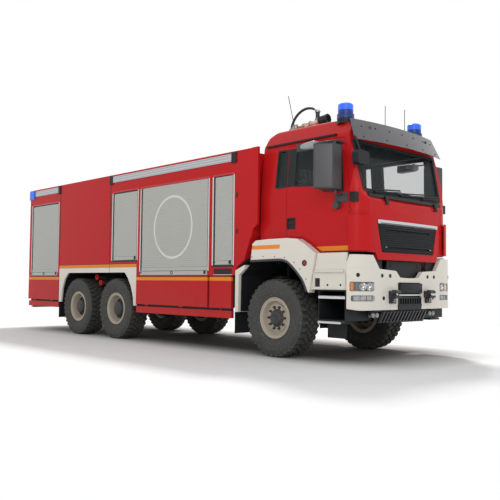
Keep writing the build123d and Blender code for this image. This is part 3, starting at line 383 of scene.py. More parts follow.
def frame_posts(name):
    """Bright upright posts, with the head of each frame painted red and its foot black."""
    finish = Finish(name, post_metal, 0.38)
    x, y, z = finish.place()
    head = z > post_head_z
    foot = z < post_foot_z
    for rear_x, front_x, top in high_feet:
        foot = foot + x.between(rear_x, front_x) * (z < top)
    shade = finish.blend(head, post_metal, fire_red)
    finish.put("Base Color", finish.blend(foot.ramp(0.4, 0.6), shade, post_foot_black))
    finish.put("Metallic", 0.5 - head * 0.5)
    return finish.material


def shutter_sheet(name, ring=None):
    """Anodised slats, with a plain pale ring of foil on them where a middle and radii are given."""
    finish = Finish(name, slat_grey, 0.42, Metallic=slat_metallic)
    x, y, z = finish.place()
    marks = finish.speckle(40.0, 4.0, stretch=(0.15, 1, 5))
    wash = finish.speckle(0.9, 2.0)
    shade = finish.blend(wash * 0.25, finish.mottle(marks, slat_grey, 0.92, 1.06), slat_wash)
    if ring:
        middle_x, middle_z, inner, outer = ring
        reach = ((x - middle_x) * (x - middle_x) + (z - middle_z) * (z - middle_z)) ** 0.5
        foil = reach.between(inner, outer)
        shade = finish.blend(foil, shade, ring_foil)
        finish.put("Metallic", slat_metallic - foil * slat_metallic)
    finish.put("Base Color", shade)
    finish.put("Roughness", 0.36 + marks * 0.14)
    finish.bump(marks, 0.0002, 0.5)
    return finish.material


# %% [markdown]
# ## Glass and lamps
# Window glass is thin, so an alpha below one shows the cab behind it at little cost, while the
# clear surface still mirrors the sky. A lamp's plastic has ribs moulded behind its smooth face,
# which a bump over height imitates.


# %% Glass, lamps and cloth
def clear_glass(name, colour, alpha, roughness=0.02):
    finish = Finish(name, colour, roughness, Alpha=alpha, ior=1.5)
    film = finish.speckle(3.0, 4.0)
    finish.put("Roughness", roughness + film.ramp(0.5, 0.9) * 0.06)
    return finish.material


def lens(name, colour, glow, ribs=160.0, dark_below=None):
    """Lamp plastic with moulded ribs, darker below a height where its foot is."""
    finish = Finish(name, colour, 0.14, Coat_Weight=0.15, Coat_Roughness=0.04, Specular_ior_Level=0.3)
    x, y, z = finish.place()
    rib = abs((z * ribs) % 1.0 - 0.5) * 2
    shade = finish.mottle(rib, colour, 0.72, 1.2)
    if dark_below:
        shade = finish.blend(z > dark_below, [c * 0.22 for c in colour], shade)
    finish.put("Base Color", shade)
    if glow:
        finish.put("Emission Color", shade)
        finish.put("Emission Strength", glow)
    finish.bump(rib, 0.0012, 0.5)
    return finish.material


def woven_cloth(name, colour):
    finish = Finish(name, colour, 0.85, Sheen_Weight=0.3)
    x, y, z = finish.place()
    threads = 400
    weave = abs((x * threads + z * threads) % 1.0 - 0.5) + abs((y * threads) % 1.0 - 0.5)
    finish.put("Base Color", finish.mottle(weave, colour, 0.7, 1.3))
    finish.bump(weave, 0.0006, 0.5)
    return finish.material


# %% [markdown]
# ## The roof monitor's paint
# The barrel of the water gun is cream with worn orange, its hose and nozzle are black and the
# swivel on top is bright metal. One solid carries them all, so the finish asks how far along the
# barrel and how high above its axis a point lies. Places are in metres, as in every finish.

# %% Monitor finish
barrel_foot = (-0.650, 3.650)
barrel_rise = 66 / 626
hose_above, nozzle_from = 0.056, 0.455
swivel_above, swivel_x_range = 3.852, (-0.295, -0.20)


def monitor_paint(name):
    finish = Finish(name, (0.6, 0.5, 0.38), 0.45)
    x, y, z = finish.place()
    above = z - barrel_foot[1] - (x - barrel_foot[0]) * barrel_rise
    worn = finish.speckle(14.0, 4.0)
    shade = finish.blend(worn.ramp(0.47, 0.55), (0.66, 0.20, 0.07), (0.72, 0.66, 0.54))
    shade = finish.blend(above > hose_above, shade, (0.020, 0.021, 0.022))
    shade = finish.blend(x > barrel_foot[0] + nozzle_from, shade, (0.022, 0.022, 0.024))
    swivel = (z > swivel_above) * x.between(*swivel_x_range)
    finish.put("Base Color", finish.blend(swivel, shade, (0.55, 0.53, 0.48)))
    finish.put("Roughness", 0.42 + worn * 0.2)
    finish.bump(finish.speckle(120.0, 3.0), 0.0006, 0.5)
    return finish.material


# %% [markdown]
# ## Which node wears what
# Each solid node gets its finish through a table, so that a reader can see at a glance what the
# truck is made of. Nodes that carry a stripe have a paint of their own, with its heights.

# %% Finishes by name
sill_stripe = (1.103, 1.161)
wheel_stripe = (1.347, 1.402)
door_stripe = (1.519, 1.584)
fender_stripe = (1.570, 1.630)
cab_creases = [(1.655, 1.672), (1.955, 1.975), (2.040, 2.055)]

red = paint("fire_red", fire_red)
cab_red = paint("cab_red", fire_red, creases=cab_creases, lining=inside_cab)
sill_red = paint("sill_red", fire_red, [sill_stripe], joint=0.010)
locker_red = paint("locker_red", fire_red, [wheel_stripe], x_range=(-6.37, -3.487), lining=under_lockers,
                   joint=0.010)
door_red = paint("door_red", fire_red, [door_stripe], creases=cab_creases, lining=inside_cab)
white = paint("warm_white", warm_white, sheen=0.3)
bumper_white = paint("bumper_white", warm_white, creases=[(1.279, 1.470)], sheen=0.3)
fender_white = paint("fender_white", warm_white, [fender_stripe], x_range=(-0.46, 0.129), sheen=0.3)
black = moulded_plastic("black_plastic", (0.014, 0.015, 0.017))
dark_grey = moulded_plastic("dark_grey_plastic", (0.058, 0.057, 0.060), 0.42)
light_grey = moulded_plastic("light_grey_plastic", (0.30, 0.30, 0.30), 0.35)
mirror_grey = moulded_plastic("mirror_grey_plastic", (0.085, 0.083, 0.088), 0.4)
bead_rubber = rubber("bead_rubber", (0.050, 0.050, 0.055), 0.1)
tyre_rubber = rubber("tyre_rubber", (0.042, 0.042, 0.040))
seal_rubber = rubber("seal_rubber", (0.012, 0.012, 0.013), 0.08)
chassis_black = chassis_paint("chassis_black", (0.018, 0.018, 0.020), 0.3)
engine_grey = chassis_paint("engine_grey", (0.10, 0.11, 0.11))
rim_paint = chassis_paint("rim_paint", (0.392, 0.337, 0.262), 0.25)
hub_black = chassis_paint("hub_black", (0.030, 0.031, 0.033), 0.2)
frame_metal = frame_posts("frame_metal")
rail_metal = worked_metal("rail_metal", (0.66, 0.66, 0.65), 0.35, (1, 1, 0.05), metallic=0.7)
deck_metal = worked_metal("deck_metal", (0.17, 0.17, 0.168), 0.65, (1, 1, 1), metallic=0.2, depth=0.0008)
steel = worked_metal("steel", (0.33, 0.33, 0.335), 0.34, (1, 1, 0.2))
guard_steel = worked_metal("guard_steel", (0.13, 0.13, 0.135), 0.45, (1, 1, 0.2))
chrome = worked_metal("chrome", (0.58, 0.58, 0.60), 0.16, (1, 0.2, 1), depth=0.00005)
plain_slats = shutter_sheet("plain_slats")
ringed_slats = shutter_sheet("ringed_slats", (-2.433, 2.020, 0.508, 0.546))
window = clear_glass("window_glass", (0.060, 0.085, 0.085), 0.15)
visor_smoke = clear_glass("visor_smoke", (0.105, 0.100, 0.108), 0.92, 0.12)
blue_lens = lens("blue_lens", (0.024, 0.130, 0.780), 0.35, dark_below=3.497)
blue_corner = lens("blue_corner", (0.016, 0.120, 0.800), 0.1)
red_lens = lens("red_lens", (0.42, 0.012, 0.010), 0.05)
amber_lens = lens("amber_lens", (0.66, 0.22, 0.035), 0.05)
clear_lens = clear_glass("clear_lens", (0.72, 0.74, 0.75), 0.16)
strip_lens = lens("strip_lens", (0.47, 0.48, 0.49), 0.0, 24.0)
cloth = woven_cloth("seat_cloth", (0.045, 0.045, 0.050))
dash_plastic = moulded_plastic("dash_plastic", (0.045, 0.045, 0.048), 0.55, 300.0)
monitor_finish = monitor_paint("monitor_paint")

# %% Dress the nodes
finish_of = {
    "cab_shell": cab_red, "front_panel": red, "roof_deck": deck_metal, "grille": black, "grille_bar": chrome,
    "cab_glass": window, "sun_visor": visor_smoke, "cab_trim": black, "cab_interior": dash_plastic,
    "seats": cloth, "beacons": blue_lens, "front_bumper": bumper_white, "front_lamps": clear_lens,
    "bumper_blacks": black, "tow_couplings": chassis_black, "front_lockers": locker_red,
    "tank_section": locker_red, "rear_lockers": red, "shutters": plain_slats, "shutter_frames": frame_metal,
    "light_strips": strip_lens, "blue_corner_lamps": blue_corner, "fenders": fender_white,
    "arch_liners": black, "underrun_guards": red, "fixed_sills": sill_red, "rear_bar": steel,
    "tail_lamps": red_lens, "monitor_riser": steel, "monitor_head": steel, "monitor_barrel": monitor_finish,
    "chassis_frame": chassis_black, "axle_beams": chassis_black, "leaf_springs": chassis_black,
    "drive_line": chassis_black, "engine": engine_grey,
}
for side in ("right", "left"):
    finish_of.update({f"door_{side}": door_red, f"door_glass_{side}": window, f"mirror_{side}": dark_grey,
                      f"knuckle_{side}": chassis_black})
    finish_of.update({f"flap_{end}_{side}": sill_red for end in ("front", "rear")})
    for station in stations:
        finish_of[f"tyre_{station}_{side}"] = tyre_rubber
        finish_of[f"wheel_{station}_{side}"] = rim_paint

for name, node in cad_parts.items():
    node.data.materials.clear()
    node.data.materials.append(finish_of[name])
print("dressed", len(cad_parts), "nodes")

# %% [markdown]
# ## A small workshop of shapes
# Every added piece is put together from a few shapes: a rounded block, a bar, a turned profile, a
# flat plate cut to an outline, and a few that are bowed or bent. Each is made by bmesh operators,
# in millimetres. A Piece collects placed copies of them, can mirror itself to the left side, and
# at last becomes one object that is shaded smooth but keeps its corners sharp.


# %% Shapes
def round_edges(shape, edges, radius, segments):
    bmesh.ops.bevel(shape, geom=list(edges), offset=radius, offset_type="OFFSET", segments=segments,
                    profile=0.5, affect="EDGES", clamp_overlap=True, material=-1)
    return shape


def cuboid(length, width, height, bevel, segments=1):
    """A block along X, Y and Z with rounded edges."""
    shape = bmesh.new()
    bmesh.ops.create_cube(shape, size=1)
    bmesh.ops.scale(shape, vec=(length, width, height), verts=shape.verts)
    return round_edges(shape, shape.edges, bevel, segments)


def bar(radius, length, sides):
    """A round or many-sided bar along Z."""
    shape = bmesh.new()
    bmesh.ops.create_cone(shape, cap_ends=True, segments=sides, radius1=radius, radius2=radius, depth=length)
    return shape


def turned(profile, steps, closed=False):
    """A profile of radius and height turned about Z, as on a lathe."""
    shape = bmesh.new()
    verts = [shape.verts.new((radius, 0, height)) for radius, height in profile]
    pairs = list(zip(verts, verts[1:])) + ([(verts[-1], verts[0])] if closed else [])
    edges = [shape.edges.new(pair) for pair in pairs]
    bmesh.ops.spin(shape, geom=verts + edges, cent=(0, 0, 0), axis=(0, 0, 1), angle=2 * math.pi,
                   steps=steps, use_merge=True)
    bmesh.ops.remove_doubles(shape, verts=shape.verts, dist=0.001)
    bmesh.ops.recalc_face_normals(shape, faces=shape.faces)
    return shape


def cap(radius, rise, depth, steps, fall=3):
    """A turned cap along Z with a slanting edge, sunk by a depth into what carries it."""
    profile = [(0, rise), (radius - 3, rise), (radius, rise - fall), (radius, -depth), (0, -depth)]
    return turned(profile, steps)


# %% Flat shapes
def outline(points):
    """A flat face with its corners at points in X and Z."""
    shape = bmesh.new()
    shape.faces.new([shape.verts.new((x, 0, z)) for x, z in points])
    return shape


def pull_out(shape, thickness):
    """Pull flat faces out to the truck's right, which closes them to a solid."""
    made = bmesh.ops.extrude_face_region(shape, geom=shape.faces[:])["geom"]
    moved = [v for v in made if isinstance(v, bmesh.types.BMVert)]
    bmesh.ops.translate(shape, vec=(0, -thickness, 0), verts=moved)
    bmesh.ops.recalc_face_normals(shape, faces=shape.faces)
    return shape


def plate(points, thickness, bevel=0.0):
    """A flat plate with an outline in X and Z. Its outer face looks to the truck's right."""
    shape = pull_out(outline(points), thickness)
    return round_edges(shape, shape.edges, bevel, 1) if bevel else shape


def seal(points, width, thickness, corner):
    """A flat frame that runs inside an outline in X and Z, with rounded corners."""
    shape = outline(points)
    bmesh.ops.bevel(shape, geom=shape.verts[:], offset=corner, offset_type="OFFSET", segments=4,
                    profile=0.5, affect="VERTICES", material=-1)
    face = shape.faces[:][0]
    bmesh.ops.inset_region(shape, faces=[face], thickness=width, use_boundary=True, use_even_offset=True)
    bmesh.ops.delete(shape, geom=[face], context="FACES")
    return pull_out(shape, thickness)


# %% Bowed and bent shapes
bow_radius, bow_front_x, bow_steps = 16090, 1485, 14


def bowed(profile, half_width):
    """A profile in X and Z swept along the shallow bow of the cab's front, through Y = 0."""
    shape = bmesh.new()
    verts = [shape.verts.new((x, 0, z)) for x, z in profile]
    edges = [shape.edges.new(pair) for pair in zip(verts, verts[1:] + verts[:1])]
    centre = (bow_front_x - bow_radius, 0, 0)
    angle = 2 * math.asin(half_width / bow_radius)
    bmesh.ops.rotate(shape, cent=centre, matrix=Matrix.Rotation(-angle / 2, 3, "Z"), verts=shape.verts)
    start = shape.faces.new(verts)
    bmesh.ops.spin(shape, geom=verts + edges + [start], cent=centre, axis=(0, 0, 1), angle=angle,
                   steps=bow_steps)
    bmesh.ops.remove_doubles(shape, verts=shape.verts, dist=0.001)
    bmesh.ops.recalc_face_normals(shape, faces=shape.faces)
    return shape


def bent_bar(points, radius):
    """A round bar along a few points, made as a curve with a round section."""
    curve = bpy.data.curves.new("bent_bar", "CURVE")
    curve.dimensions = "3D"
    curve.bevel_depth = radius
    curve.bevel_resolution = 4
    curve.use_fill_caps = True
    spline = curve.splines.new("NURBS")
    spline.points.add(len(points) - 1)
    for knot, point in zip(spline.points, points):
        knot.co = (*point, 1)
    spline.order_u = 3
    spline.use_endpoint_u = True
    spline.resolution_u = 6
    holder = bpy.data.objects.new("bent_bar", curve)
    raw = bpy.data.meshes.new_from_object(holder)
    shape = bmesh.new()
    shape.from_mesh(raw)
    bmesh.ops.remove_doubles(shape, verts=shape.verts, dist=0.01)
    bmesh.ops.recalc_face_normals(shape, faces=shape.faces)
    bpy.data.objects.remove(holder)
    bpy.data.curves.remove(curve)
    bpy.data.meshes.remove(raw)
    return shape


# %% Places and pieces
def at(x, y, z, about_x=0.0, about_y=0.0, about_z=0.0):
    """A place in millimetres from the front axle, with turns in degrees."""
    turns = Euler([math.radians(a) for a in (about_x, about_y, about_z)])
    return Matrix.Translation((x, y, z)) @ turns.to_matrix().to_4x4()


mirrored = Matrix.Scale(-1, 4, (0, 1, 0))
hands = {"right": Matrix(), "left": mirrored}
to_the_front = at(0, 0, 0, 0, 90, 0)
to_metres = Matrix.Translation((axle_x, 0, 0)) @ Matrix.Scale(0.001, 4)
pieces_made = []


def triangles_of(*words):
    """The triangles of the pieces whose names hold any of the words."""
    return sum(count for name, count in pieces_made if any(word in name for word in words))


class Piece:
    """One added piece, put together from placed shapes."""

    def __init__(self, name):
        self.name = name
        self.shape = bmesh.new()

    def add(self, part, *places):
        """Add a shape, once at each place. A mirroring place keeps its faces outward."""
        stencil = bpy.data.meshes.new("stencil")
        part.to_mesh(stencil)
        part.free()
        for place in places or (Matrix(),):
            copy = stencil.copy()
            copy.transform(place)
            if place.determinant() < 0:
                copy.flip_normals()
            self.shape.from_mesh(copy)
            bpy.data.meshes.remove(copy)
        bpy.data.meshes.remove(stencil)
        return self

    def both(self):
        """Mirror what has been added so far to the truck's left side."""
        return self.add(self.shape.copy(), mirrored)

    def fit(self, finish, body="chassis", slot="black_plastic", replaces=(), sharp=32):
        """Turn the piece into an object that rides on a body."""
        mesh = bpy.data.meshes.new(self.name)
        self.shape.to_mesh(mesh)
        open_edges = sum(1 for edge in self.shape.edges if len(edge.link_faces) != 2)
        self.shape.free()
        mesh.transform(to_metres)
        mesh.polygons.foreach_set("use_smooth", [True] * len(mesh.polygons))
        mesh.set_sharp_from_angle(angle=math.radians(sharp))
        mesh.materials.append(finish)
        made = bpy.data.objects.new(self.name, mesh)
        bpy.context.scene.collection.objects.link(made)
        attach(made, body)
        if replaces:
            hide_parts(*replaces)
        mesh.calc_loop_triangles()
        pieces_made.append((self.name, len(mesh.loop_triangles)))
        if open_edges:
            print(self.name, "has", open_edges, "open edges")
        return made


# %% [markdown]
# ## Tyres
# The tyre has an all-round tread for road and rough ground: tall shoulder blocks, a zigzag pair of
# centre rows and short bars down the side wall. Sculpting them would take hours. Turning the
# carcass and then laying a few bevelled blocks round it, each 36 times, gives a true pitch for
# little work. The turning axis is laid along Y, with the outer side wall to the right.

# %% Tyre shapes
blocks_round = 36
carcass_half = [(262.5, 150), (276, 158), (300, 160), (318, 166), (322, 170.5), (330, 172), (334, 170.5),
                (352, 177), (384, 187), (416, 192.5), (432, 194), (468, 192.5), (474, 194.5), (482, 194),
                (488, 191), (512, 187), (532, 181), (546, 173), (544, 158), (541, 150), (541, 84), (539, 80),
                (539, 6)]
carcass = carcass_half + [(radius, -height) for radius, height in reversed(carcass_half)]
outward = Matrix.Rotation(math.radians(90), 4, "X")

# %% [markdown]
# One half of the tread is four rows. Each line below gives a block's length, width, height and
# bevel, then where it stands: its start round the tyre as a share of the pitch, its radius, its
# distance from the tyre's middle, its twist and its lean in degrees.

# %% Tread rows
tread_rows = [((34, 58, 96, 5), 0, 550, 116, 0, 0), ((46, 50, 18, 5), 0, 535, 174, 0, -20),
              ((30, 56, 48, 5), 0.5, 551, 31, 24, 0), ((6, 34, 9, 2), 0.5, 506, 187, 0, 0)]


def ring_of(count, offset, radius, height, twist=0.0, lean=0.0):
    """Places round a turning axis for parts that stand on it."""
    places = []
    for index in range(count):
        round_axis = Matrix.Rotation(2 * math.pi * (index + offset) / count, 4, "Z")
        stand = Matrix.Translation((radius, 0, height))
        turned_in = Matrix.Rotation(math.radians(twist), 4, "X") @ Matrix.Rotation(math.radians(lean), 4, "Y")
        places.append(round_axis @ stand @ turned_in)
    return places


def wheel_place(station_x, side):
    """The middle of a wheel, with its axis along Y and its outer side away from the truck."""
    return hands[side] @ (at(station_x, -wheel_y, tyre_radius) @ outward)


def tyre_piece(name, station_x, side):
    """One tyre: its carcass, and the tread rows of both halves, half a pitch apart."""
    place = wheel_place(station_x, side)
    piece = Piece(name).add(turned(carcass, 72, closed=True), place)
    for face in (1, -1):
        for block, start, radius, height, twist, lean in tread_rows:
            offset = start + 0.25 * (1 + face)
            spots = ring_of(blocks_round, offset, radius, face * height, face * twist, face * lean)
            piece.add(cuboid(*block), *[place @ spot for spot in spots])
    return piece


# %% Six tyres
for station, station_x in stations.items():
    for side in hands:
        piece = tyre_piece(f"tread_{station}_{side}", station_x, side)
        piece.fit(tyre_rubber, f"{station}_{side}_wheel", "tyre_rubber", [f"tyre_{station}_{side}"])
print("tyres of", pieces_made[0][1], "triangles each")

# %% [markdown]
# ## Rims and hubs
# A disc wheel is pressed from thick plate: a flat ring for the studs, a groove, and a rim with two
# ridges. On the front axle the dish bulges outward and the planet hub stands proud of it. On the
# rear pair the same dish lies deep in the rim and a wide drum closes the hub, with a flat dark ring
# round it that covers the disc out past the studs: dust, and painted shade in the deep dish. The
# rims come from one profile that is turned, in which only the depth of the disc changes.

# %% Rims and hubs
disc_depth = {"front": 112, "middle": 62, "rear": 62}
hub_reach = {"front": 176, "middle": 149, "rear": 149}
studs, stud_circle, arm_circle, screw_circle = 10, 160, 138, 52


def rim_profile(face):
    outer = [(0, face), (128, face), (186, face - 2), (200, face - 5), (206, face - 20), (230, face - 20),
             (236, face + 2), (241, max(face + 12, 118)), (246, 150), (250, 160), (256, 164), (262, 161),
             (266, 154), (274, 154), (284, 164), (290, 171), (297, 172), (300, 169)]
    inner = [(300, 160), (262, 160), (262, -160), (300, -160), (300, -172), (246, -172), (244, -160),
             (236, face - 60), (190, face - 34), (0, face - 34)]
    return outer + inner


def planet_hub(face, reach):
    return [(0, reach), (34, reach), (38, reach - 6), (66, reach - 6), (84, reach - 10), (98, reach - 18),
            (108, reach - 32), (112, reach - 44), (126, face + 12), (130, face + 1), (0, face + 1)]


# Past the drum, a flat dark ring out to 194 mm covers the disc: dust, and painted shade in the deep dish.
def drum_hub(face, reach):
    return [(0, reach), (58, reach), (62, reach - 7), (104, reach - 9), (126, reach - 20), (134, reach - 34),
            (140, face + 14), (150, face + 6), (190, face + 5), (194, face + 1), (0, face + 1)]


# %% Six rims and hubs
for station, station_x in stations.items():
    face, reach = disc_depth[station], hub_reach[station]
    hub_profile = planet_hub if station == "front" else drum_hub
    for side in hands:
        place = wheel_place(station_x, side)
        body = f"{station}_{side}_wheel"
        rim = Piece(f"rim_{station}_{side}").add(turned(rim_profile(face), 72), place)
        rim.fit(rim_paint, body, "rim_grey", [f"wheel_{station}_{side}"])
        hub = Piece(f"hub_{station}_{side}").add(turned(hub_profile(face, reach), 48), place)
        for part, radius, height in ((bar(19, 16, 12), stud_circle, face + 8),
                                     (bar(13, 36, 6), stud_circle, face + 20),
                                     (cuboid(44, 26, 12, 2), arm_circle, face + 6),
                                     (bar(5, 6, 8), screw_circle, reach - 4)):
            hub.add(part, *[place @ spot for spot in ring_of(studs, 0, radius, height)])
        hub.fit(hub_black, body, "chassis_black")
print("rims and hubs:", triangles_of("rim", "hub"), "triangles")

# %% [markdown]
# ## Roller shutters
# A shutter is a stack of rolled aluminium slats that hook into each other, with a wide bar at its
# foot that carries the handle. A bump could fake the slats, but they catch the light along their
# edges and show in the outline of the frame, so each slat is a rounded block. They run between
# brush seals in the frame. Beside the rear seal a wider black strip is painted shade, the shadow
# deep in the guide rail.

# %% Shutters
slat_pitch = 34
foot_height = 74
side_seals = 34
body_rear = -7770
shutter_rows = [("over_wheels", -4310, -3490, 1470, 2765), ("wide", -3370, -1485, 1260, 2765),
                ("narrow", -1352, -885, 1347, 2765), ("rearmost", -7650, -6450, 1260, 2760)]


def shutter_shapes(length, z0, z1):
    """Slats, foot bar, side seals and a strip of painted shade, round the middle of an opening, facing to the
    right.
    """
    slats, seals = Piece("slats"), Piece("seals")
    middle, end = (z0 + z1) / 2, length / 2
    count = int((z1 - z0 - foot_height) / slat_pitch)
    heights = [z0 + foot_height + slat_pitch * (i + 0.5) for i in range(count)]
    slat = cuboid(length - side_seals, 6, slat_pitch - 0.6, 1.2)
    slats.add(slat, *[at(0, -side_y + 9, z) for z in heights])
    slats.add(cuboid(length - side_seals, 9, 66, 3), at(0, -side_y + 8, z0 + 37))
    seals.add(cuboid(16, 10, z1 - z0, 2), at(end - 8, -side_y + 9, middle), at(8 - end, -side_y + 9, middle))
    # The wider black strip beside the rear seal is painted shade, the shadow deep in the guide rail.
    seals.add(cuboid(26, 5, z1 - z0, 1), at(24 - end, -side_y + 6, middle))
    seals.add(cuboid(length, 10, z1 - heights[-1] - slat_pitch / 2, 1), at(0, -side_y + 10, z1 - 4))
    seals.add(cuboid(length - side_seals, 11, 7, 2), at(0, -side_y + 8, z0 + 7))
    return slats, seals


def fit_shutter(name, shapes, place, sheet, on_both_sides):
    """Fit the slats and the seals of a shutter as two pieces."""
    for part, kind, finish, slot in zip(shapes, ("slats", "seals"), (sheet, seal_rubber),
                                        ("shutter_grey", "black_plastic")):
        piece = Piece(f"shutter_{kind}_{name}").add(part.shape, place)
        if on_both_sides:
            piece.both()
        piece.fit(finish, "chassis", slot)


for name, x0, x1, z0, z1 in shutter_rows:
    sheet = ringed_slats if name == "wide" else plain_slats
    fit_shutter(name, shutter_shapes(x1 - x0, z0, z1), at((x0 + x1) / 2, 0, 0), sheet, True)
back_width, back_foot, back_top = 1520, 1260, 2760
to_the_back = at(body_rear + side_y, 0, 0, 0, 0, -90)
fit_shutter("back", shutter_shapes(back_width, back_foot, back_top), to_the_back, plain_slats, False)
print("shutters:", triangles_of("shutter"), "triangles")

# %% [markdown]
# ## Windows of the cab
# Each pane sits in a black rubber frame. The side of the cab leans in above the belt, and the
# screen leans back, so the frames are cut flat, from the same corners as the panes, and then laid
# on their plane by a shear, which keeps their outline as seen from the side.

# %% Planes of the windows
belt_y, belt_height = 1120, 2350
side_slope = 70 / 775
screen_foot_x, screen_foot_height = 1404, 2315
screen_slope = -164 / 730


def lean_side(proud):
    """Lay a flat piece on the cab's leaning side, seen from the right."""
    lay = Matrix.Identity(4)
    lay[1][2] = side_slope
    lay[1][3] = -belt_y - belt_height * side_slope - proud
    return lay


def lean_screen(proud):
    """Lay a flat piece, drawn in X and Z, across the truck on the leaning screen."""
    start_x = screen_foot_x - screen_foot_height * screen_slope + proud
    return Matrix(((0, -1, screen_slope, start_x), (1, 0, 0, 0), (0, 0, 1, 0), (0, 0, 0, 1)))


# %% Window seals
door_pane = [(272, 2480), (272, 3030), (1085, 3030), (1190, 2335), (850, 2350), (650, 2455)]
rear_pane = [(-95, 2485), (-80, 3030), (72, 3030), (72, 2480)]
screen_pane = [(-950, 2338), (950, 2338), (1008, 3032), (-1008, 3032)]
seal_depth = 56


def grown(points, by):
    """An outline grown about its middle."""
    mid_x = (min(x for x, z in points) + max(x for x, z in points)) / 2
    mid_z = (min(z for x, z in points) + max(z for x, z in points)) / 2
    return [(x + math.copysign(by, x - mid_x), z + math.copysign(by, z - mid_z)) for x, z in points]


for side, hand in hands.items():
    lay = hand @ lean_side(0.5)
    for name, pane, rim, lip, corner, body in (("door", door_pane, 26, 9, 25, f"{side}_door"),
                                               ("rear", rear_pane, 24, 8, 22, "cab")):
        window_seal = Piece(f"{name}_window_seal_{side}").add(seal(grown(pane, 14), rim, 5, 22), lay)
        window_seal.add(seal(pane, lip, seal_depth, corner), lay @ at(0, seal_depth - 1, 0))
        window_seal.fit(seal_rubber, body)
screen_seal = Piece("screen_seal").add(seal(grown(screen_pane, 16), 46, 6, 50), lean_screen(1))
screen_seal.add(seal(screen_pane, 12, seal_depth, 50), lean_screen(1 - seal_depth))
screen_seal.fit(seal_rubber, "cab")
cowl = Piece("cowl").add(bowed([(1440, 2252), (1476, 2252), (1462, 2296), (1416, 2326), (1400, 2326)], 900))
cowl.add(cuboid(26, 60, 120, 4), at(1482, -541, 2225, 0, -14, 0), at(1482, 701, 2225, 0, -14, 0))
cowl.fit(black, "cab")
print("window seals fitted")

# %% Wipers
wiper_spans = [(-760, -120), (-160, 500), (420, 860)]
wipers = Piece("wipers")
for foot_y, tip_y in wiper_spans:
    middle, span = (foot_y + tip_y) / 2, tip_y - foot_y
    wipers.add(cuboid(14, span, 16, 3), at(1432, middle, 2352, 4, 0, 0))
    wipers.add(cuboid(10, span * 0.92, 22, 3), at(1416, middle + 30, 2384, 4, -12, 0))
    wipers.add(bar(20, 34, 16), at(1444, foot_y, 2336, 0, 70, 0))
wipers.fit(black, "cab")

# %% [markdown]
# ## Grille and lamps
# The grille is a black pressing with fine fins that follow the shallow bow of the cab's front, so
# they are swept round the bow's distant centre. Behind each clear lamp cover sit chrome bowls,
# which are turned, and an orange indicator at the outer edge.

# %% Grille
mouth_foot, mouth_half, mouth_flare = 1508, 618, 0.244
fin_count, fin_pitch, first_fin = 12, 30, 1530
fins = Piece("grille_fins")
for z in range(first_fin, first_fin + fin_count * fin_pitch, fin_pitch):
    half = mouth_half + (z - mouth_foot) * mouth_flare
    fins.add(bowed([(1478, z - 5), (1491, z - 2), (1491, z + 3), (1478, z + 6)], half))
fins.add(bowed([(1478, 1512), (1494, 1512), (1494, 1518), (1478, 1518)], 612))
fins.fit(black, "cab")
shade_line = Piece("grille_bar_shade")
shade_line.add(bowed([(1496, 1899), (1503, 1899), (1504, 1911), (1496, 1911)], 690)).fit(dark_grey, "cab")
marks = Piece("grille_marks").add(cuboid(6, 44, 10, 3), at(1484, -553, 1581), at(1484, 553, 1581))
marks.fit(chrome, "cab", "grille_chrome")
Piece("mouth_sill").add(bowed([(1484, 712), (1494, 714), (1508, 792), (1484, 792)], 292)).fit(black)

# %% Lamps
upper_lamp_z, lower_lamp_z = 1039, 883
bowl = [(0, 0), (18, 0), (30, 6), (42, 18), (50, 34), (54, 36), (56, 34), (52, 10), (40, -6), (0, -10)]
bulb = [(0, 24), (10, 22), (15, 14), (15, 0), (0, 0)]
bowls, bulbs = Piece("lamp_bowls"), Piece("lamp_bulbs")
ambers, housings = Piece("indicators"), Piece("lamp_housings")
for y, x, turn_out in ((-905, 1426, 8), (-1020, 1410, 14)):
    facing = at(x, y, upper_lamp_z, 0, 0, -turn_out) @ to_the_front
    bowls.add(turned(bowl, 32), facing)
    bulbs.add(turned(bulb, 20), facing)
for y, x, turn_out in ((-870, 1432, 6), (-985, 1418, 12), (-1100, 1392, 24)):
    bowls.add(cuboid(10, 96, 62, 4), at(x, y, lower_lamp_z, 0, 0, -turn_out))
    bars = [at(x + 6, y, lower_lamp_z + offset, 0, 0, -turn_out) for offset in (-17, 0, 17)]
    bulbs.add(cuboid(14, 84, 8, 3), *bars)
ambers.add(cuboid(50, 44, 108, 8), at(1372, -1180, upper_lamp_z, 0, 0, -40))
housings.add(cuboid(16, 330, 118, 4), at(1402, -970, upper_lamp_z, 0, 0, -11))
housings.add(cuboid(16, 390, 74, 4), at(1394, -1000, lower_lamp_z, 0, 0, -12))
bowls.both().fit(chrome, "chassis", "grille_chrome")
bulbs.both().fit(light_grey, "chassis", "lamp_glass")
ambers.both().fit(amber_lens, "chassis", "lamp_glass")
housings.both().fit(black, "chassis")
print("lamps and grille fitted")

# %% [markdown]
# ## The bumper's fittings
# Between the bumper's horns lies a dark recess. Two tow couplings stand below it, each with a
# shackle under its pin, and a plate carrier and a white bar lie between them. The under-guard is
# a row of slanting steel bars. All of these are rounded blocks, bars and turned pins.

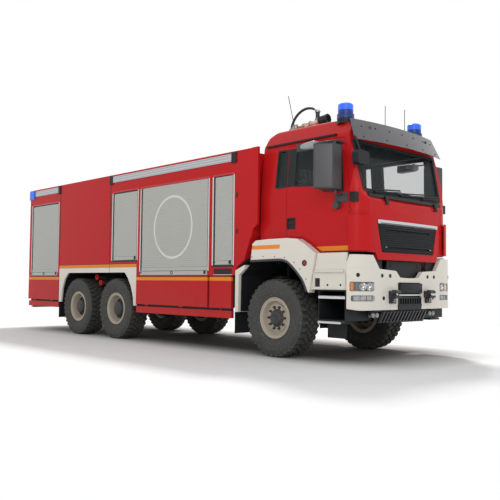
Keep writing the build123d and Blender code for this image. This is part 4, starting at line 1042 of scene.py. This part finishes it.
# %% Bumper fittings
recess = Piece("bumper_recess").add(cuboid(8, 870, 250, 2), at(1398, 0, 1275))
recess.add(cuboid(8, 290, 150, 2), at(1398, -690, 1335), at(1398, 690, 1335))
recess.add(turned([(0, 8), (16, 8), (20, 4), (22, 0), (0, 0)], 20),
           *[at(1402, y, 1330, 0, 90, 0) for y in (-330, 330)])
recess.fit(black)
hole_places = [(1482, -650, 1188, 1), (1486, -470, 1188, 1), (1438, -1125, 1191, 26), (1483, -615, 882, 1)]
holes = Piece("bumper_holes")
holes.add(turned([(0, 1), (20, 1), (22, 3), (26, 3), (28, 0), (28, -6), (0, -6)], 24),
          *[at(x, y, z, 0, 0, -turn_out) @ to_the_front for x, y, z, turn_out in hole_places])
holes.both().fit(black)
guard_bars = Piece("guard_slats")
guard_bars.add(cuboid(7, 24, 168, 2), *[at(1389, y, 618, -8, 23, 0) for y in range(-511, 530, 80)])
guard_bars.fit(guard_steel, "chassis", "steel_grey")
spots = Piece("spot_glasses")
spots.add(turned([(0, 4), (26, 3), (32, 0), (34, -6), (0, -6)], 28),
          *[at(1412, y, 650, 0, 90, 0) for y in (-660, -750)])
spots.both().fit(light_grey, "chassis", "lamp_glass")

# %% Tow couplings, bar and carrier
shackles = Piece("shackles").add(cuboid(52, 20, 74, 6, 2), at(1510, -402, 846), at(1510, -488, 846))
shackles.add(cuboid(20, 106, 74, 4), at(1490, -445, 846)).add(bar(13, 116, 16), at(1516, -445, 826, 90, 0, 0))
shackles.add(cuboid(66, 128, 26, 12, 3), at(1560, -435, 984))
shackles.both().fit(chassis_black, "chassis", "chassis_black")
pins = Piece("coupling_pins")
pins.add(turned([(0, 64), (12, 64), (14, 60), (14, 54), (24, 54), (26, 50), (24, 46), (13, 44), (13, -52),
                 (10, -58), (0, -58)], 20), at(1572, -435, 933))
pins.add(turned([(17, -4), (25, -4), (25, 4), (17, 4)], 24, closed=True), at(1540, -445, 852, 0, 90, 0))
pins.both().fit(chrome, "chassis", "steel_grey")
Piece("mouth_bar").add(cuboid(24, 552, 20, 5, 2), at(1500, 0, 924)).fit(white, "chassis", "fender_white")
carrier = Piece("plate_carrier").add(cuboid(5, 520, 118, 4, 2), at(1522, 0, 1020))
carrier.add(cuboid(6, 540, 8, 2), at(1523, 0, 1081), at(1523, 0, 957)).fit(black)
print("bumper fitted")

# %% [markdown]
# ## Fine parts of the cab
# Up close a cab is covered in small fittings: the black band between the side windows, the
# framed door handle, the glasses and facets of the mirrors, the screws of the sun visor, the
# dark collars of the beacons. They are flat plates and turned caps, set on the panels that
# carry them, so they move with the door or with the cab.

# %% Pillars and handles
band_foot, band_top = 2474, 3036
for side, hand in hands.items():
    for name, x0, x1, body in (("pillar", 86, 123, "cab"), ("door", 132, 262, f"{side}_door")):
        band = plate([(x0, band_foot), (x1, band_foot), (x1, band_top), (x0, band_top)], 4, 1)
        Piece(f"{name}_band_{side}").add(band, hand @ lean_side(0.4)).fit(black, body)
    handle = Piece(f"door_handle_{side}")
    surround = seal([(142, 1852), (308, 1852), (308, 2018), (142, 2018)], 14, 7, 14)
    handle.add(surround, hand @ at(0, -1119.5, 0))
    handle.add(cuboid(140, 4, 140, 1), hand @ at(225, -1104, 1935))
    handle.add(cuboid(132, 13, 44, 4, 2), hand @ at(225, -1114.5, 1945))
    handle.add(cap(12, 5, 3, 16), hand @ at(280, -1121, 1880, 90, 0, 0))
    handle.fit(black, f"{side}_door")

# %% Mirrors
for side, hand in hands.items():
    glass = Piece(f"mirror_glass_{side}")
    glass.add(cuboid(3, 246, 370, 1), hand @ at(963, -1345, 2735))
    glass.add(cuboid(3, 246, 150, 1), hand @ at(963, -1345, 2445))
    glass.fit(chrome, f"{side}_door", "lamp_glass")
    facet = Piece(f"mirror_facet_{side}")
    facet.add(cuboid(236, 8, 574, 7, 3), hand @ at(1098, -1437, 2640, 0, 0, 32.5))
    facet.fit(mirror_grey, f"{side}_door")
    shell = cuboid(352, 172, 112, 36, 4)
    for vert in shell.verts:
        narrow = 0.62 + 0.38 * min(1, (vert.co.x + 176) / 200)
        vert.co.y, vert.co.z = vert.co.y * narrow, vert.co.z * narrow
    kerb = Piece(f"kerb_mirror_{side}").add(shell, hand @ at(640, -1228, 2986))
    kerb.fit(light_grey, f"{side}_door")


# %% Visor screws and beacon collars
def visor_x(y, z):
    """X of the visor's face: it bows back to its edges, and leans back and narrows upward."""
    up = (z - 3025) / 310
    middle, edge, half = 1472 - 162 * up, 1340 - 130 * up, 1082 - 62 * up
    return middle - (middle - edge) * (y / half) ** 2


visor_lean = 62.4
screw_rows = [(3235, (-860, -600, -300, 0, 300, 600, 860)), (3075, (-900, -450, 0, 450, 900))]
screws = Piece("visor_screws")
for z, row in screw_rows:
    places = [at(visor_x(y, z) + 1, y, z) @ at(0, 0, 0, 0, visor_lean, 0) for y in row]
    screws.add(turned([(0, 7), (8, 6), (13, 2), (15, -3), (0, -3)], 16), *places)
screws.fit(black, "cab")
collars = Piece("beacon_collars")
collars.add(turned([(105, 0), (122, 0), (123, 52), (116, 62), (105, 62)], 40, closed=True),
            at(1010, -860, 3377))
collars.both().fit(blue_lens, "cab", "lamp_blue")
print("cab fittings made")

# %% [markdown]
# ## Seats
# The seats show through the screen and, with a door open, at close range. A seat cushion is foam
# under a sewn cover: crowned in the middle, raised at its side bolsters and drawn in along its
# seams. Cloth simulation would swell a closed bag in the same way, but here the foam is firm, so
# a subdivided block whose points are moved in code gives the form at once and always the same. A
# subdivision surface rounds it at the end.


# %% Seats
def cushion(length, width, height, crown, bolster):
    """A firm cushion with a crowned middle, raised sides and a sewn channel along each bolster."""
    shape = bmesh.new()
    bmesh.ops.create_cube(shape, size=1)
    bmesh.ops.subdivide_edges(shape, edges=shape.edges[:], cuts=9, use_grid_fill=True)
    for vert in shape.verts:
        u, v, w = vert.co.x * 2, vert.co.y * 2, vert.co.z * 2
        pulled_in = 1 - 0.05 * (1 - abs(w)) - 0.03 * u * u * v * v
        top = max(0, w)
        rise = crown * (1 - u * u) * (1 - v * v) + bolster * (abs(v) > 0.55) * (1 - u * u * 0.6)
        channel = 12 if 0.35 < abs(v) < 0.45 else 0
        side = 7 * (1 - abs(w)) * (1 - u * u)
        vert.co.x = u * length / 2 * pulled_in
        vert.co.y = v * (width / 2 * pulled_in + (side if abs(v) > 0.99 else 0))
        vert.co.z = w * height / 2 + top * (rise - channel)
    bmesh.ops.smooth_vert(shape, verts=shape.verts, factor=0.35,
                          use_axis_x=True, use_axis_y=True, use_axis_z=True)
    return shape


def padded_piece(name, part, place):
    piece = Piece(name).add(part, place).fit(cloth, "cab", "interior_black", ["seats"], sharp=180)
    rounder = piece.modifiers.new("rounder", "SUBSURF")
    rounder.levels = rounder.render_levels = 1


pedestals = Piece("seat_pedestals")
for side, y in (("left", 620), ("right", -620)):
    padded_piece(f"seat_cushion_{side}", cushion(590, 470, 96, 16, 14), at(425, y, 2002, 0, -3, 0))
    padded_piece(f"seat_back_{side}", cushion(560, 440, 92, 12, 14), at(148, y, 2345, 0, 80.5, 0))
    padded_piece(f"head_rest_{side}", cushion(170, 250, 72, 8, 0), at(80, y, 2705, 0, 84, 0))
    pedestals.add(cuboid(440, 370, 300, 14, 2), at(420, y, 1712))
    pedestals.add(cuboid(540, 430, 84, 16, 2), at(420, y, 1912))
    pedestals.add(cuboid(380, 60, 40, 8), at(420, y - 236, 1985), at(420, y + 236, 1985))
pedestals.fit(dash_plastic, "cab", "interior_black", ["seats"])
print("seats:", triangles_of("seat", "rest"), "triangles before subdivision")

# %% [markdown]
# ## Fenders and steps
# A rubber bead closes the front arch, held by small bolts. The entry panel has a turned-out lip
# above its recess, and the two treads below it carry toothed aluminium noses. The bead is a bent
# bar; everything else is a block, a plate or a cap laid in a row.

# %% Front arch
arch_line = [(-478, 1402), (-330, 1404), (-90, 1409), (140, 1414), (250, 1392), (330, 1346), (462, 1232),
             (530, 1160), (574, 1110), (615, 1035), (650, 962)]
bolt_places = [(-448, 1462), (-213, 1464), (24, 1458), (224, 1440), (409, 1366), (524, 1273), (637, 1134)]
marker_place = at(607, -1249, 1356, 90, 0, 0)
for sign, side in ((-1, "right"), (1, "left")):
    bead = bent_bar([(x, sign * 1243, z) for x, z in arch_line], 19)
    Piece(f"arch_bead_{side}").add(bead).fit(bead_rubber)
bolts = Piece("fender_bolts")
bolts.add(cap(9, 4, 2, 12), *[at(x, -side_y - 1, z, 90, 0, 0) for x, z in bolt_places])
bolts.add(cap(15, 3, 2, 14), at(994, -1217, 1054, 90, 0, 0), at(1217, -1217, 1056, 90, 0, 0))
bolts.add(cuboid(84, 5, 118, 3), at(817, -1217, 1088))
bolts.add(turned([(28, 0), (40, 0), (43, 6), (40, 12), (30, 12), (28, 6)], 32, closed=True),
          at(607, -1248, 1356, 90, 0, 0))
bolts.both().fit(black)
marker = Piece("side_markers").add(turned([(0, 9), (16, 8), (29, 3), (30, -2), (0, -2)], 28), marker_place)
marker.both().fit(red_lens, "chassis", "lamp_red")

# %% Entry lips and shields
lip = Piece("entry_lips").add(cuboid(500, 46, 34, 14, 4), at(1030, -1224, 1240, 12, 0, 0))
lip.add(cuboid(18, 24, 210, 8, 3), at(1300, -1218, 1120), at(752, -1218, 1120))
lip.add(cuboid(560, 22, 18, 7, 3), at(1026, -1217, 1003))
lip.both().fit(white, "chassis", "fender_white")
shields = Piece("rear_arch_shields")
shields.add(plate([(-462, 1412), (-470, 1402), (-598, 1285), (-733, 1185), (-742, 640), (-730, 640),
                   (-722, 1190), (-592, 1297)], 640), at(0, -560, 0))
shields.both()
shields.add(plate([(-462, 1412), (-470, 1402), (-598, 1285), (-716, 1200), (-708, 1206), (-592, 1297)], 1120),
            at(0, 560, 0))
shields.fit(black)

# %% Steps
tooth_pitch = 19
noses = Piece("step_noses")
for x0, x1, y, z, height in ((828, 1286, -1206, 886, 34), (829, 1224, -1219, 549, 25)):
    middle, tread_z = (x0 + x1) / 2, z + height / 2
    noses.add(cuboid(x1 - x0, 14, height, 3), at(middle, y, z))
    teeth = range(int((x1 - x0) / tooth_pitch))
    noses.add(cuboid(10, 20, 8, 2), *[at(x0 + 12 + tooth_pitch * i, y + 3, tread_z + 3) for i in teeth])
    noses.add(cuboid(x1 - x0, 8, 5, 1), *[at(middle, y + 22 + 18 * i, tread_z + 2) for i in range(5)])
noses.both().fit(rail_metal, "chassis", "deck_aluminium")
Piece("step_plate").add(cuboid(330, 8, 210, 2), at(975, -985, 432)).fit(black)
print("arches and steps made")

# %% [markdown]
# ## Sides of the locker body
# The shutter's foot bar closes over the sill and carries a latch at its front end, a lock at its
# rear end and a pull hook. Under the narrow shutter is a dark niche with a bright edge. Black
# fillers cover the joints between the three modules of the body.

# %% Latches, niche and joints
module_seams = [-4400, -6360]
low_foot = 1300
hook = [(24, -3), (31, -3), (33, 0), (31, 5), (24, 5), (22, 0)]
latches, foot_bars = Piece("latches"), Piece("foot_bars")
for name, x0, x1, z0, z1 in shutter_rows:
    middle, proud, height = (x0 + x1) / 2, -side_y + 2, z0 + 46
    if z0 < low_foot:
        proud, height = -side_y - 3, 1240
        foot_bars.add(cuboid(x1 - x0 - 12, 7, 70, 3), at(middle, -side_y - 1.5, 1228))
        latches.add(cuboid(x1 - x0 - 12, 8, 9, 2), at(middle, -side_y - 1.5, 1190))
        latches.add(turned(hook, 24, closed=True), at(middle, -side_y - 5, 1238, 90, 0, 0))
    latches.add(cuboid(46, 14, 58, 5, 2), at(x1 - 62, proud - 3, height))
    latches.add(cap(15, 6, 4, 20, fall=4), at(x0 + 36, proud - 2, height, 90, 0, 0))
latches.add(cuboid(430, 4, 96, 2), at(-1108, -side_y - 0.5, 1246))
latches.add(cuboid(26, 12, 74, 4, 2), at(-788, -side_y - 4, 1870), at(-798, -side_y - 4, 2428))
for x, z0, z1 in [(x, 1350, 2932) for x in module_seams] + [(module_seams[0], 1250, 1343)]:
    latches.add(cuboid(9, 4, z1 - z0, 1), at(x, -side_y - 0.5, (z0 + z1) / 2))
latches.both().fit(seal_rubber)
foot_bars.both().fit(plain_slats, "chassis", "shutter_grey")
fillers = Piece("seam_fillers")
fillers.add(cuboid(22, 5, 1560, 1), *[at(x, -side_y + 1.5, 2225) for x in module_seams])
fillers.both().fit(black)
edge = Piece("niche_edges").add(cuboid(452, 10, 10, 3), at(-1108, -side_y - 2, 1198))
edge.both().fit(rail_metal, "chassis", "deck_aluminium")
skirt = Piece("under_skirts").add(cuboid(2570, 6, 96, 1), at(-2195, -1190, 640))
skirt.add(cuboid(1350, 6, 96, 1), at(-7075, -1190, 640)).both().fit(black)

# %% Hose caps and tail lamps
hose_places = [(-5096, 1161), (-4952, 1052)]
cap_profile = [(0, 18), (26, 18), (30, 14), (30, 4), (50, 2), (54, -4), (54, -34), (46, -40), (0, -40)]
caps, stubs = Piece("hose_caps"), Piece("hose_stubs")
for x, z in hose_places:
    caps.add(turned(cap_profile, 28), at(x, -1100, z, 90, 0, 0))
    caps.add(cuboid(20, 18, 70, 4), at(x, -1116, z, 0, 35, 0))
    stubs.add(bar(38, 640, 20), at(x, -770, z, 90, 0, 0))
caps.both().fit(red, "chassis", "body_red")
stubs.both().fit(hub_black, "chassis", "chassis_black")
for name, y, finish in (("tail_lamp_ambers", -1165, amber_lens), ("tail_lamp_clears", -1035, light_grey)):
    Piece(name).add(cuboid(3, 56, 132, 1), at(-7797, y, 975)).both().fit(finish, "chassis", "lamp_glass")
print("body sides made")

# %% [markdown]
# ## The water monitor's nozzle
# The nozzle has a thick rim, straightening fins in its mouth and clamps along the barrel. They
# are set along the barrel's axis, a place that is worked out once.

# %% Nozzle
barrel_x, barrel_z = (1000 * v for v in barrel_foot)
aim_turn = 90 - math.degrees(math.atan(barrel_rise))


def along_barrel(*distances):
    """Places on the barrel's axis, at distances from its foot."""
    foot = at(barrel_x, 0, barrel_z, 0, aim_turn, 0)
    return [foot @ Matrix.Translation((0, 0, distance)) for distance in distances]


nozzle = Piece("nozzle")
nozzle.add(turned([(53, -9), (72, -9), (78, -4), (78, 4), (72, 9), (53, 9)], 36, closed=True),
           *along_barrel(625, 470))
nozzle.add(turned([(72, -5), (75, 0), (72, 5), (69, 0)], 36, closed=True), *along_barrel(500, 530, 560, 590))
nozzle.add(cuboid(5, 102, 70, 1), *along_barrel(590))
nozzle.add(cuboid(102, 5, 70, 1), *along_barrel(590))
nozzle.add(turned([(0, 20), (18, 8), (22, 0), (22, -12), (0, -12)], 24), *along_barrel(600))
nozzle.fit(black, "monitor_gun")
clamps = Piece("barrel_clamps")
clamps.add(turned([(43, -11), (58, -11), (60, -7), (60, 7), (58, 11), (43, 11)], 32, closed=True),
           *along_barrel(120, 262, -150))
clamps.add(turned([(35, -9), (48, -9), (48, 9), (35, 9)], 28, closed=True),
           at(-246, 0, 3740), at(-246, 0, 3862))
clamps.fit(steel, "monitor_gun", "steel_grey")
print("nozzle and clamps made")

# %% [markdown]
# ## Ground, light and background
# The truck was photographed outdoors under a bright, nearly even sky and cut out on white. A wide
# bright sky gives the soft reflections on the paint, a lamp high on the truck's left gives the
# shadow, and a wide one behind the camera lights the front and the right side. Below the truck
# the ground's colour is darkened to a painted shadow, where little light reaches it, and far away
# it is white. The ground's white is shown to the camera's own rays alone. The sky's white is also
# shown to rays that come off gloss or through glass, so paint and chrome mirror it, but it casts no
# light of its own.

# %% Ground
truck_middle = -3.1
shade_length, shade_width, shade_shift = (3.9, 5.4), (0.9, 1.9), 0.3
paper_reach, paper_squash = (4.5, 8.5), 0.5

sheet = bmesh.new()
bmesh.ops.create_grid(sheet, x_segments=8, y_segments=8, size=60)
ground_mesh = bpy.data.meshes.new("ground")
sheet.to_mesh(ground_mesh)
sheet.free()
ground = bpy.data.objects.new("ground", ground_mesh)
bpy.context.scene.collection.objects.link(ground)

tarmac = Finish("ground", (0.80, 0.79, 0.77), 0.9)
grit = tarmac.speckle(3.0, 4.0)
tarmac.bump(tarmac.speckle(120.0, 2.0), 0.0005, 0.3)
x, y, z = tarmac.place()
away_x = x - truck_middle
# A painted shadow: the ground's colour is darkened below the truck.
shaded = (1 - abs(away_x).ramp(*shade_length)) * (1 - abs(y - shade_shift).ramp(*shade_width))
pale = tarmac.blend(grit, (0.78, 0.77, 0.75), (0.82, 0.81, 0.79))
tarmac.put("Base Color", tarmac.blend(shaded, pale, (0.13, 0.115, 0.10)))
reach = (away_x * away_x * paper_squash + y * y) ** 0.5
away = reach.ramp(*paper_reach) * tarmac.node("ShaderNodeLightPath", output="Is Camera Ray")
plain = tarmac.node("ShaderNodeEmission", None, {"Color": (1, 1, 1, 1), "Strength": 1.0})
lit = Wire(tarmac, tarmac.shader.outputs[0])
mixed = tarmac.node("ShaderNodeMixShader", None, {0: away, 1: lit, 2: plain})
tarmac.tree.links.new(mixed.socket, tarmac.tree.nodes["Material Output"].inputs["Surface"])
ground.data.materials.append(tarmac.material)

# %% Sky
world = bpy.data.worlds.new("sky")
world.use_nodes = True
sky = Net(world.node_tree)
sky.tree.nodes.remove(sky.tree.nodes["Background"])
daylight = sky.node("ShaderNodeBackground", None, {"Color": (0.93, 0.96, 1.0, 1), "Strength": 0.80})
paper = sky.node("ShaderNodeBackground", None, {"Color": (1, 1, 1, 1), "Strength": 1.0})
shows_paper = sky.node("ShaderNodeLightPath", output="Is Camera Ray")
for ray in ("Is Glossy Ray", "Is Transmission Ray"):
    other = sky.node("ShaderNodeLightPath", output=ray)
    shows_paper = sky.node("ShaderNodeMath", {"operation": "MAXIMUM"}, {0: shows_paper, 1: other})
mixed = sky.node("ShaderNodeMixShader", None, {0: shows_paper, 1: daylight, 2: paper})
sky.tree.links.new(mixed.socket, sky.tree.nodes["World Output"].inputs["Surface"])
bpy.context.scene.world = world


# %% Lamps of the stage
def area_lamp(name, place, target, size, power):
    data = bpy.data.lights.new(name, "AREA")
    data.shape = "DISK"
    data.size = size
    data.energy = power
    lamp = bpy.data.objects.new(name, data)
    look = Vector(target) - Vector(place)
    lamp.matrix_world = Matrix.Translation(place) @ look.to_track_quat("-Z", "Y").to_matrix().to_4x4()
    bpy.context.scene.collection.objects.link(lamp)


area_lamp("overhead", (-3, 7, 15), (0, 0, 1), 2.4, 2400)
area_lamp("from_front_right", (14, -12, 7), (1, 0, 1.5), 7, 600)

# %% Picture settings
bpy.context.scene.view_settings.view_transform = "Standard"
print(len(pieces_made), "added pieces with", sum(count for name, count in pieces_made), "triangles in all")
